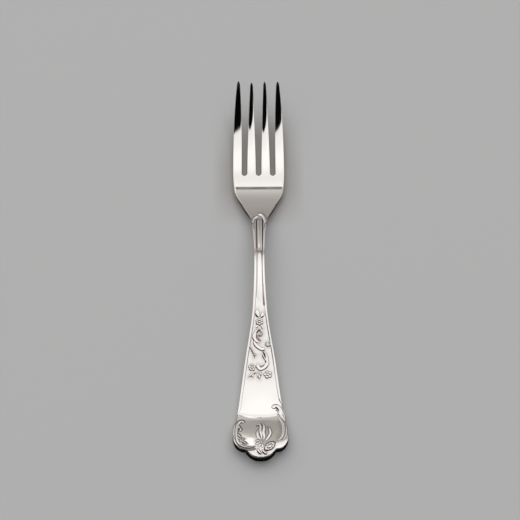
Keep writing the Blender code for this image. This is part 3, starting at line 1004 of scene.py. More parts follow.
class Head(Blank):
    """Shoulder, palm and four tines in one sweep of metal."""

    @classmethod
    def of(cls, form: ForkForm, spacing: float = 0.34, step: float = 0.3) -> Head:
        """Draw the head's edge from the right side of the neck, round the tines, to the left side.

        Args:
            form: The fork's form.
            spacing: Spacing of the mesh.
            step: Spacing of the points on the edge.

        Returns:
            The head, ready to build.
        """
        climb = np.arange(form.shoulder_start, form.tine_start, step)
        right = np.stack([form.half_width(climb), climb], axis=1)
        runs = [right]
        for index in reversed(range(form.tine_count)):
            runs.append(cls._tine(form, index, step))
            if index:
                runs.append(cls._slot(form, index))
        runs.append((right * (-1.0, 1.0))[::-1])
        nodes = tuple(f"tine_{index + 1}" for index in range(form.tine_count)) + ("palm", "shoulder")
        # Painted shade along the shoulder's edges, standing in for their dark reflection.
        stain = PaintedShade(station=97.0, reach=6.5, strength=0.95)
        return cls("fork_head", nodes, form, [np.vstack(runs)], spacing, edge_stain=stain)

    @staticmethod
    def _tine(form: ForkForm, index: int, step: float, nose_steps: int = 12) -> np.ndarray:
        """Edge of one tine, up its right side, round the tip and down its left side.

        Args:
            form: The fork's form.
            index: Tine number from the left, from 0.
            step: Spacing of the points on the sides.
            nose_steps: Points round half of the tip.

        Returns:
            Points of the edge.
        """
        shaft = np.arange(form.tine_start, form.length - form.tip_round, step)
        nose = form.length - form.tip_round * (1 - np.sin(np.linspace(0.0, math.pi / 2, nose_steps)))
        s = np.concatenate([shaft, nose])
        middle, half = form.tine_line(index, s)
        rounding = np.sqrt(1 - np.clip(between(s, form.length - form.tip_round, form.length), 0.0, 1.0) ** 2)
        right = np.stack([middle + half * rounding, s], axis=1)
        left = np.stack([middle - half * rounding, s], axis=1)
        return np.vstack([right, left[-2::-1]])

    @staticmethod
    def _slot(form: ForkForm, index: int, steps: int = 18) -> np.ndarray:
        """Half-round bottom of the slot on the left of one tine.

        Args:
            form: The fork's form.
            index: Tine number from the left, from 0.
            steps: Points on the bottom.

        Returns:
            Points of the edge.
        """
        middle, half = form.tine_line(index, np.array([form.tine_start]))
        centre = middle[0] - half[0] - form.slot_width / 2
        turn = np.linspace(0.0, -math.pi, steps + 2)[1:-1]
        radius = form.slot_width / 2
        return np.stack([centre + radius * np.cos(turn), form.tine_start + radius * np.sin(turn)], axis=1)


class Shaft(Blank):
    """Stem or blade: a tapering length of the handle between two seams."""

    @classmethod
    def of(cls, form: ForkForm, name: str, node: str, span: Span, spacing: float,
           step: float = 0.3) -> Shaft:
        """Draw the two sides of the length between two stations.

        Args:
            form: The fork's form.
            name: Name of the piece.
            node: CAD node that it stands for.
            span: Its first and last station.
            spacing: Spacing of the mesh.
            step: Spacing of the points on the edge.

        Returns:
            The length, ready to build.
        """
        count = int((span[1] - span[0]) / step) + 1
        s = np.linspace(span[0], span[1], count)
        right = np.stack([form.half_width(s), s], axis=1)
        left = (right * (-1.0, 1.0))[::-1]
        return cls(name, (node,), form, [right, left], spacing)


class HandleEnd(Blank):
    """Lobed end of the handle, with its hollow field."""

    @classmethod
    def of(cls, form: ForkForm, spacing: float = 0.22, step: float = 0.2, arc_steps: int = 30) -> HandleEnd:
        """Draw the end's edge from the left of the seam, round the lobes, to the right of the seam.

        Args:
            form: The fork's form.
            spacing: Spacing of the mesh.
            step: Spacing of the points on the sides.
            arc_steps: Points on half of the foot and on each lobe.

        Returns:
            The end, ready to build.
        """
        sides = np.arange(form.lobe_station, form.end_length, step)
        side = np.stack([form.half_width(sides), sides], axis=1)
        seam = np.array([[form.half_width(np.array([form.end_length]))[0], form.end_length]])
        notch = form.foot_lobe_width / 2
        turn = np.linspace(math.pi / 2, 0.0, arc_steps, endpoint=False)
        drop = form.lobe_station + form.foot_reach - form.foot_lobe_height
        lobe = np.stack([notch + (form.end_width / 2 - notch) * np.cos(turn),
                         form.lobe_station - drop * np.sin(turn)], axis=1)
        across = np.linspace(0.0, 1.0, arc_steps, endpoint=False)
        depth = form.foot_lobe_height * across ** form.foot_lobe_power - form.foot_reach
        foot = np.stack([notch * across, depth], axis=1)
        right = np.vstack([foot, lobe, side, seam])
        left = (right * (-1.0, 1.0))[:0:-1]
        # Painted shade along the end's edges at the fold.
        stain = PaintedShade(station=15.5, reach=2.5, strength=0.8)
        return cls("fork_end", ("handle_end",), form, [np.vstack([left, right])], spacing, edge_stain=stain)


class Tip(Enum):
    """How a raised line ends."""

    POINTED = "pointed"
    ROUND = "round"
    FLUSH = "flush"


def flat_grid(name: str, across: int, along: int) -> bpy.types.Object:
    """Add a flat grid from -1 to 1 each way, to be shaped into a raised line.

    Args:
        name: Name of the piece.
        across: Faces across it.
        along: Faces along it.

    Returns:
        The grid.
    """
    deselect_all()
    bpy.ops.mesh.primitive_grid_add(x_subdivisions=across, y_subdivisions=along, size=2.0)
    piece = bpy.context.object
    piece.name = name
    return piece


@dataclass
class Stroke:
    """Raised line of the relief, drawn through a few places, with a dark line at its foot that is partly
    patina and partly painted shade.
    """

    name: str
    points: Sequence[Place]
    width: float
    nodes: tuple[str, ...] = ()
    height: float = 0.075
    tips: tuple[Tip, Tip] = (Tip.POINTED, Tip.POINTED)
    taper: Span = (1.0, 1.0)
    rise: Span = (1.0, 1.0)
    crown: float = 0.8
    lean: float = 0.0
    shade: Span = (1.0, 1.0)
    groove: float = 0.0
    stain: PaintedShade = NO_PAINTED_SHADE
    swell: float = 0.4
    margin: float = 0.22
    step: float = 0.08
    across: int = 22
    foot: float = 0.25
    skin: float = 0.008
    sink: float = 0.06
    line_start: float = -0.04
    line_full: float = 0.03
    line_fade: float = 0.7
    tip_margin: float = 0.3
    least_swelling: float = 0.02
    round_limit: float = 0.5
    point_power: float = 0.7
    groove_share: float = 0.3

    def path(self) -> np.ndarray:
        """Points along the middle of the line."""
        return smooth_path(self.points, self.step)

    def build(self, form: ForkForm, finish: Silver = RELIEF_SILVER) -> bpy.types.Object:
        """Shape the line on the front face and dress it.

        Args:
            form: The fork that it lies on.
            finish: Its silver.

        Returns:
            The finished piece.
        """
        path = self.path()
        piece = flat_grid(self.name, self.across, len(path) - 1)
        grid = coordinates(piece.data)
        along = (grid[:, 1] + 1) / 2
        share = np.linspace(0.0, 1.0, len(path))
        tangent = np.gradient(path, axis=0)
        tangent /= np.linalg.norm(tangent, axis=1)[:, None]
        middle = [np.interp(along, share, path[:, axis]) for axis in (0, 1)]
        side = [np.interp(along, share, tangent[:, 1]), np.interp(along, share, -tangent[:, 0])]
        swelling = self._swelling(along)
        half = self.width / 2 * swelling * (self.taper[0] + (self.taper[1] - self.taper[0]) * along)
        offset = grid[:, 0] * (half + self.margin * np.minimum(1.0, self.tip_margin + swelling))
        x, s = middle[0] + side[0] * offset, middle[1] + side[1] * offset
        lift, patina_and_shade = self._section(offset, half, swelling)
        lift *= self.rise[0] + (self.rise[1] - self.rise[0]) * along
        patina_and_shade = np.maximum(patina_and_shade, self.stain.at(s))
        present = self._presence(along)
        lift, patina_and_shade = lift * present + self.skin - self.sink * (1 - present), patina_and_shade * present
        shape(piece, form.to_world(x, s, form.front(x, s) + lift), patina_and_shade)
        sink_foot(piece, self.foot)
        dress(piece, finish, self.nodes, RELIEF_CREASE)
        return piece

    def _swelling(self, along: np.ndarray) -> np.ndarray:
        """Share of the full width along the line, by how each end runs out.

        Args:
            along: Shares of the way along the line.

        Returns:
            Shares of the full width.
        """
        first = self._run_out(along, self.tips[0])
        last = self._run_out(1.0 - along, self.tips[1])
        return np.clip(first * last, self.least_swelling, 1.0)

    def _presence(self, along: np.ndarray) -> np.ndarray:
        """Strength of the line along its way, where an end sinks into the face."""
        ways = [way for way, tip in zip((along, 1 - along), self.tips) if tip is Tip.FLUSH]
        return np.prod([np.ones(len(along)), *(ease(way / self.swell) for way in ways)], axis=0)

    def _run_out(self, along: np.ndarray, tip: Tip) -> np.ndarray:
        """Growth of the width away from one end.

        Args:
            along: Shares of the way from that end.
            tip: How the end runs out.

        Returns:
            Shares of the full width.
        """
        if tip is Tip.FLUSH:
            return np.ones(len(along))
        if tip is Tip.ROUND:
            length = sum(math.dist(a, b) for a, b in zip(self.points, self.points[1:]))
            reach = min(self.round_limit, self.width / 2 / length)
            return np.sqrt(np.clip(1 - (1 - np.clip(along / reach, 0.0, 1.0)) ** 2, 0.0, 1.0))
        return np.sin(np.clip(along / self.swell, 0.0, 1.0) * math.pi / 2) ** self.point_power

    def _section(self, offset: np.ndarray, half: np.ndarray,
                 swelling: np.ndarray) -> tuple[np.ndarray, np.ndarray]:
        """Rise and darkness over the line's width.

        Args:
            offset: Distance from the middle, to the right of the line's travel.
            half: Half width of the raised part at each point.
            swelling: Share of the full width at each point.

        Returns:
            The lift over the face and the darkness, from 0 to 1.
        """
        crest = self.lean * half
        flank = np.where(offset > crest, half - crest, half + crest)
        across = np.clip(np.abs(offset - crest) / flank, 0.0, 1.0)
        bead = (1 - across ** 2) ** self.crown
        cut = self.groove * np.exp(-((offset - crest) / (self.groove_share * half)) ** 2)
        lift = self.height * np.sqrt(swelling) * bead * (1 - cut)
        # Dark line at the foot of the raised part: partly patina in the hollow, partly painted shade.
        out = np.abs(offset) - half
        line = ease(between(out, self.line_start, self.line_full))
        fade = 1 - self.line_fade * ease(between(out, self.line_full, self.margin))
        strength = np.where(offset < 0, *self.shade)
        return lift, np.clip(line * fade * strength + cut, 0.0, 1.0)


@dataclass
class ShadowLine(Stroke):
    """Painted shadow: a dark line beside a raised one, with hardly any rise of its own."""

    width: float = 0.08
    height: float = 0.02
    margin: float = 0.26
    line_fade: float = 0.2


@dataclass
class Flower:
    """Raised flower of the relief: domed petals round a boss."""

    name: str
    centre: Place
    radius: float
    nodes: tuple[str, ...] = ()
    petals: int = 5
    height: float = 0.075
    turn: float = 0.3
    boss: float = 0.34
    stretch: float = 1.0
    lean: float = 0.0
    waist: float = 0.70
    gap: float = 0.22
    foot: float = 0.25
    skin: float = 0.008
    petal_faces: int = 16
    rings: int = 48
    lobe_power: float = 0.6
    petal_reach: float = 0.90
    petal_power: float = 0.6
    petal_height: float = 0.85
    rim_span: Span = (0.78, 0.90)
    ring_width: float = 0.06
    button_share: float = 0.8
    path_share: float = 0.6

    def path(self) -> np.ndarray:
        """Points round the flower."""
        return np.array(ring_path(self.centre, self.radius * self.path_share, 0.0, FULL_TURN))

    def build(self, form: ForkForm, finish: Silver = RELIEF_SILVER) -> bpy.types.Object:
        """Shape the flower from a ball on the front face and dress it.

        Args:
            form: The fork that it lies on.
            finish: Its silver.

        Returns:
            The finished piece.
        """
        deselect_all()
        bpy.ops.mesh.primitive_uv_sphere_add(segments=self.petals * self.petal_faces, ring_count=self.rings)
        piece = bpy.context.object
        piece.name = self.name
        ball = coordinates(piece.data)
        angle = np.arctan2(ball[:, 1], ball[:, 0])
        out = np.clip(np.hypot(ball[:, 0], ball[:, 1]), 0.0, 1.0)
        lobe = np.abs(np.cos(self.petals * (angle - self.turn) / 2))
        reach = out * self.radius * (self.waist + (1 - self.waist) * lobe ** self.lobe_power)
        long, short = reach * np.cos(angle) * self.stretch, reach * np.sin(angle)
        x = self.centre[0] + long * math.cos(self.lean) - short * math.sin(self.lean)
        s = self.centre[1] + long * math.sin(self.lean) + short * math.cos(self.lean)
        lift, patina_and_shade = self._rise(out, lobe)
        lift = np.where(ball[:, 2] >= -TINY, lift, -self.foot)
        shape(piece, form.to_world(x, s, form.front(x, s) + lift), patina_and_shade)
        dress(piece, finish, self.nodes, RELIEF_CREASE)
        return piece

    def _rise(self, out: np.ndarray, lobe: np.ndarray) -> tuple[np.ndarray, np.ndarray]:
        """Rise and darkness over the flower; the dark at its rim, between its petals and round its boss is
        partly patina, partly painted shade.

        Args:
            out: Share of the way from the middle to the rim.
            lobe: 1 along the middle of a petal and 0 between two petals.

        Returns:
            The lift over the face and the darkness, from 0 to 1.
        """
        petal_share = np.clip(between(out, self.boss, self.petal_reach), 0.0, 1.0)
        dome = np.clip(4 * petal_share * (1 - petal_share), 0.0, 1.0) ** self.petal_power
        petal = dome * ease(lobe / (2 * self.gap)) * self.petal_height
        button = np.sqrt(np.clip(1 - (out / self.boss) ** 2, 0.0, 1.0))
        lift = self.height * np.maximum(petal, button) + self.skin
        rim = ease(between(out, *self.rim_span))
        gaps = 1 - ease(lobe / self.gap)
        ring = np.exp(-((out - self.boss) / self.ring_width) ** 2)
        dark = np.maximum(np.maximum(rim, gaps), ring)
        return lift, np.clip(np.where(out < self.boss * self.button_share, 0.0, dark), 0.0, 1.0)


@dataclass
class Thread:
    """Reeding: a rounded rib along the edge of the handle, with a dark groove line painted on its inner
    side, partly patina and partly painted shade.
    """

    name: str
    nodes: tuple[str, ...]
    span: Span
    side: int
    heights: tuple[float, ...]
    groove_tones: tuple[float, ...]
    height_stations: tuple[float, ...] = (25.0, 35.0, 45.0, 55.0, 62.0)
    stations: tuple[float, ...] = (16.0, 50.0, 62.0, 74.0, 78.0, 89.0)
    widths: tuple[float, ...] = (0.72, 0.72, 0.78, 0.72, 0.62, 0.66)
    grooves: tuple[float, ...] = (0.22, 0.24, 0.24, 0.22, 0.20, 0.20)
    groove_fade: float = 0.3
    # Painted dark reflection across the threads where the stem's ridge meets the neck.
    stain: PaintedShade = PaintedShade(station=76.6, reach=1.6, strength=0.6)
    edge_gap: float = 0.02
    step: float = 0.3
    across: int = 24
    foot: float = 0.45
    skin: float = 0.008
    run_out: float = 2.0
    least_swelling: float = 0.05
    crown: float = 0.8
    line_start: float = -0.06
    line_full: float = 0.03
    fade_reach: float = 0.12

    def build(self, form: ForkForm) -> bpy.types.Object:
        """Shape the rib on the front face and dress it.

        Args:
            form: The fork that it lies on.

        Returns:
            The finished piece.
        """
        first, last = self.span
        piece = flat_grid(self.name, self.across, int((last - first) / self.step))
        grid = coordinates(piece.data)
        s = first + (last - first) * (grid[:, 1] + 1) / 2
        width = np.interp(s, self.stations, self.widths)
        total = width + np.interp(s, self.stations, self.grooves)
        inward = total * (1 - grid[:, 0]) / 2
        run_out = np.clip(np.minimum(s - first, last - s) / self.run_out, 0.0, 1.0)
        swelling = np.clip(np.sqrt(run_out), self.least_swelling, 1.0)
        x = self.side * (form.half_width(s) - self.edge_gap - inward * swelling)
        across = np.clip(np.abs(2 * inward / width - 1), 0.0, 1.0)
        height = np.interp(s, self.height_stations, self.heights)
        lift = height * (1 - across ** 2) ** self.crown * swelling + self.skin
        # Dark line painted inwards of the rib where the groove lies: partly patina, partly painted shade.
        tone = np.interp(s, self.height_stations, self.groove_tones)
        line = ease(between(inward, width + self.line_start, width + self.line_full))
        fade = 1 - self.groove_fade * ease(between(inward, total - self.fade_reach, total))
        patina_and_shade = np.maximum(line * fade * tone, self.stain.at(s))
        shape(piece, form.to_world(x, s, form.front(x, s) + lift), patina_and_shade)
        sink_foot(piece, self.foot)
        dress(piece, RELIEF_SILVER, self.nodes, RELIEF_CREASE)
        return piece


def ring_path(centre: Place, radius: float, first: float, last: float, count: int = 10) -> list[Place]:
    """Places round a circle, from one angle to another in degrees."""
    turns = np.radians(np.linspace(first, last, count))
    return [(centre[0] + radius * math.cos(turn), centre[1] + radius * math.sin(turn)) for turn in turns]


@dataclass
class Reeding:
    """Threads along the edges, the ridge down the stem and the scrolls that close them at the neck."""

    form: ForkForm
    left_foot: float = 16.4
    right_foot: float = 20.2
    top_gap: float = 0.6
    left_heights: tuple[float, ...] = (0.09, 0.09, 0.09, 0.09, 0.09)
    right_heights: tuple[float, ...] = (0.09, 0.05, 0.04, 0.055, 0.09)
    left_tones: tuple[float, ...] = (0.40, 0.75, 0.75, 0.50, 0.50)
    right_tones: tuple[float, ...] = (0.60, 0.36, 0.06, 0.34, 0.50)

    long_step: float = 0.25
    ridge_line: Span = (0.12, 0.09)
    ridge_span: Span = (55.5, 78.6)
    ridge_points: int = 5
    ridge_width: float = 1.22
    ridge_taper: Span = (1.75, 1.0)
    ridge_shade: Span = (0.6, 1.0)
    ridge_margin: float = 0.36
    ridge_fade: float = 0.2
    ridge_swell: float = 0.28
    ridge_height: float = 0.16
    ridge_crown: float = 0.45
    ridge_skin: float = 0.03
    # Painted dark reflection over the top end of the ridge.
    ridge_painted_shade: PaintedShade = PaintedShade(station=76.8, reach=1.1, strength=0.75)

    shadow_margin: float = 0.34
    shadow_fade: float = 0.3
    shadow_swell: float = 0.25
    shadow_skin: float = 0.06

    neck_line: float = 0.15
    neck_span: Span = (74.5, 92.4)
    neck_points: int = 4
    neck_width: float = 1.40
    neck_height: float = 0.12
    neck_crown: float = 0.5
    neck_margin: float = 0.56
    neck_swell: float = 0.2
    neck_fade: float = 0.1
    neck_skin: float = 0.012

    left_cap_width: float = 0.975
    right_cap_width: float = 1.30
    cap_height: float = 0.24
    cap_lean: float = 0.5

    def build(self) -> None:
        """Build the threads, then the ribs in darker silver, then the scrolls."""
        for thread in self._threads():
            thread.build(self.form)
        for rib in self._ribs():
            rib.build(self.form, DARK_PATINA_AND_SHADE_SILVER)
        for cap in self._caps():
            cap.build(self.form)

    def _threads(self) -> list[Thread]:
        """Draw the threads along both edges.

        Returns:
            The left and the right thread.
        """
        top = self.form.shoulder_start - self.top_gap
        return [
            Thread("rib_left", ("edge_thread_left",), (self.left_foot, top), -1, self.left_heights,
                   self.left_tones),
            Thread("rib_right", ("edge_thread_right",), (self.right_foot, top), 1, self.right_heights,
                   self.right_tones),
        ]

    def _ribs(self) -> list[Stroke]:
        """Draw the ridge of the stem, the painted shadow line beside it and the rib of the neck.

        Returns:
            The raised lines, from the blade up.
        """
        stem = list(zip(np.linspace(*self.ridge_line, self.ridge_points),
                        np.linspace(*self.ridge_span, self.ridge_points)))
        beside = [(1.20, 63.5), (1.34, 60.5), (1.42, 58.0), (1.52, 55.5)]
        neck = [(self.neck_line, s) for s in np.linspace(*self.neck_span, self.neck_points)]
        return [
            Stroke("rib_middle", stem, self.ridge_width, ("stem_ridge",), self.ridge_height,
                   (Tip.FLUSH, Tip.ROUND), taper=self.ridge_taper, shade=self.ridge_shade,
                   margin=self.ridge_margin, line_fade=self.ridge_fade, crown=self.ridge_crown,
                   swell=self.ridge_swell, step=self.long_step, skin=self.ridge_skin,
                   stain=self.ridge_painted_shade),
            ShadowLine("rib_shadow", beside, margin=self.shadow_margin, line_fade=self.shadow_fade,
                       swell=self.shadow_swell, skin=self.shadow_skin),
            Stroke("rib_neck", neck, self.neck_width, (), self.neck_height, (Tip.POINTED, Tip.ROUND),
                   margin=self.neck_margin, line_fade=self.neck_fade, crown=self.neck_crown,
                   swell=self.neck_swell, step=self.long_step, skin=self.neck_skin),
        ]

    def _caps(self) -> list[Stroke]:
        """Draw the two scrolls that cross at the neck.

        Returns:
            The left scroll, and the right one that lies over it.
        """
        left = [(-2.10, 89.8), (-2.25, 91.0), (-1.95, 92.4), (-1.20, 93.3), (-0.20, 93.5)]
        right = [(2.05, 89.8), (2.15, 91.2), (2.00, 92.8), (1.40, 94.1), (0.55, 94.8), (-0.45, 94.4)]
        tips = (Tip.POINTED, Tip.ROUND)
        return [
            Stroke("cap_left", left, self.left_cap_width, ("neck_scroll_left",), self.cap_height, tips,
                   lean=-self.cap_lean),
            Stroke("cap_right", right, self.right_cap_width, ("neck_scroll_right",), self.cap_height, tips,
                   lean=self.cap_lean),
        ]


@dataclass
class Relief:
    """Group of raised figures on one zone of the handle."""

    form: ForkForm
    finish: Silver = RELIEF_SILVER

    def figures(self) -> list[Stroke | Flower]:
        """List the figures; each zone has its own."""
        raise NotImplementedError

    def build(self) -> None:
        """Build each figure."""
        for figure in self.figures():
            figure.build(self.form, self.finish)

    def tarnish_and_shade(self) -> tuple[TarnishAndShade, ...]:
        """Grey of the field round the figures."""
        return (TarnishAndShade(np.vstack([figure.path() for figure in self.figures()])),)


@dataclass
class BladeRelief(Relief):
    """Spray of flowers, leaves and scrolls down the blade."""

    leaf: float = 0.75
    small_leaf: float = 0.60
    least_leaf: float = 0.525
    twig: float = 0.45
    fine_twig: float = 0.36
    stalk: float = 0.26
    stalk_height: float = 0.10
    tall_bud: float = 1.35
    small_bud: float = 0.95
    bud_fade: float = 0.3
    band: float = 1.05
    band_lean: float = 0.6
    faint_height: float = 0.035
    faint_shade: Span = (0.35, 0.35)

    def figures(self) -> list[Stroke | Flower]:
        """List the figures from the stem down.

        Returns:
            Raised lines and flowers, in place.
        """
        return [*self._upper_spray(), *self._scrolls(), *self._lower_spray()]

    def _upper_spray(self) -> list[Stroke | Flower]:
        """Draw the buds and the flower under the stem, with its two faint leaves.

        Returns:
            Raised lines and a flower, in place.
        """
        leaf = self.small_leaf
        faint = {"height": self.faint_height, "shade": self.faint_shade}
        return [
            Stroke("bud_tall", [(-0.80, 54.2), (-0.85, 53.0), (-0.55, 51.3)], self.tall_bud, ("bud",),
                   line_fade=self.bud_fade),
            Stroke("bud_small", [(1.15, 53.3), (0.90, 52.3), (0.40, 51.2)], self.small_bud, ("bud_leaf",),
                   line_fade=self.bud_fade),
            Flower("flower_upper", (-0.15, 49.7), 1.42, ("upper_flower",), petals=6, turn=0.62),
            Stroke("flower_leaf_left", [(-0.45, 48.5), (-0.90, 48.1), (-1.30, 47.5)], leaf, **faint),
            Stroke("flower_leaf_right", [(0.30, 48.5), (0.70, 48.0), (0.90, 47.2)], leaf, **faint),
        ]

    def _scrolls(self) -> list[Stroke | Flower]:
        """Draw the crescent, the tail and the S, with the curls and twigs between them.

        Returns:
            Raised lines and a pearl, in place.
        """
        band, lean = self.band, self.band_lean
        knob = (Tip.POINTED, Tip.ROUND)
        crescent = [(0.30, 46.9), (-0.60, 46.8), (-1.50, 45.8), (-1.95, 44.2), (-1.40, 43.0), (-0.10, 42.2)]
        volute = ring_path((-0.18, 45.5), radius=0.88, first=150.0, last=-120.0)
        tail = [(-2.05, 43.0), (-1.75, 42.0), (-1.10, 41.1), (0.00, 40.25), (0.90, 39.95), (1.50, 40.2)]
        curl = [(3.75, 43.7), (3.45, 42.9)] + ring_path((2.74, 41.8), radius=0.78, first=55.0, last=-235.0)
        stalk = [(-3.30, 40.6), (-2.95, 39.9), (-2.57, 39.1), (-2.00, 37.9), (-1.90, 37.0)]
        s_curve = [(0.90, 39.3), (1.65, 38.4), (2.10, 37.2), (2.20, 36.0), (2.35, 35.0), (1.90, 33.9),
                   (1.10, 33.2), (0.20, 32.9), (-0.50, 33.2), (-0.80, 33.9), (-0.60, 34.6)]
        return [
            Stroke("scroll_crescent", crescent, band, ("c_scroll",), lean=lean),
            ShadowLine("scroll_shadow", [(-1.10, 45.2), (-0.80, 44.0), (0.30, 42.8)]),
            Stroke("scroll_volute", volute, self.fine_twig),
            Flower("scroll_pearl_dome", (-0.25, 45.2), 0.42, ("scroll_pearl",), petals=4, boss=0.8,
                   turn=0.0),
            Stroke("scroll_tail", tail, band, ("tail_scroll",), tips=knob, lean=lean),
            Stroke("curl_ring", curl, self.fine_twig, ("side_curl",)),
            Stroke("twig_stalk", stalk, self.stalk, ("sprig",), self.stalk_height),
            Stroke("twig_bud", [(-3.70, 41.5), (-3.50, 40.9), (-3.20, 40.4)], self.small_leaf),
            Stroke("twig_leaf", [(-2.20, 37.9), (-1.75, 38.1), (-1.35, 37.8)], self.least_leaf),
            Stroke("scroll_s", s_curve, band, ("s_scroll",), tips=knob, lean=-lean, swell=0.25),
            Stroke("scroll_drop", [(0.85, 38.3), (1.20, 37.3), (1.70, 36.2)], self.least_leaf),
            ShadowLine("scroll_hook", [(1.35, 34.4), (0.70, 33.8), (0.00, 34.1)]),
        ]

    def _lower_spray(self) -> list[Stroke | Flower]:
        """Draw the two flowers at the foot of the spray, with leaves and drops between them.

        Returns:
            Raised lines and flowers, in place.
        """
        twig = self.twig
        return [
            Flower("flower_left", (-2.74, 33.5), 1.35, ("left_flower",)),
            Stroke("spray_long", [(-1.27, 31.6), (-2.60, 31.3), (-3.84, 30.0)], self.leaf, ("spray_leaf",)),
            Stroke("spray_short", [(-2.20, 31.2), (-2.50, 30.6), (-2.57, 29.9)], self.small_leaf),
            Stroke("drop_left", [(-0.65, 32.1), (-0.78, 31.0), (-0.72, 29.7)], twig, ("left_pendant",)),
            Stroke("drop_right", [(0.10, 32.1), (0.25, 31.3), (0.20, 30.4)], twig, ("right_pendant",)),
            Stroke("drop_middle", [(-0.28, 31.2), (-0.25, 30.3), (-0.28, 29.3)], twig),
            Flower("flower_right", (2.55, 30.9), 1.5, ("right_flower",), turn=0.6),
        ]


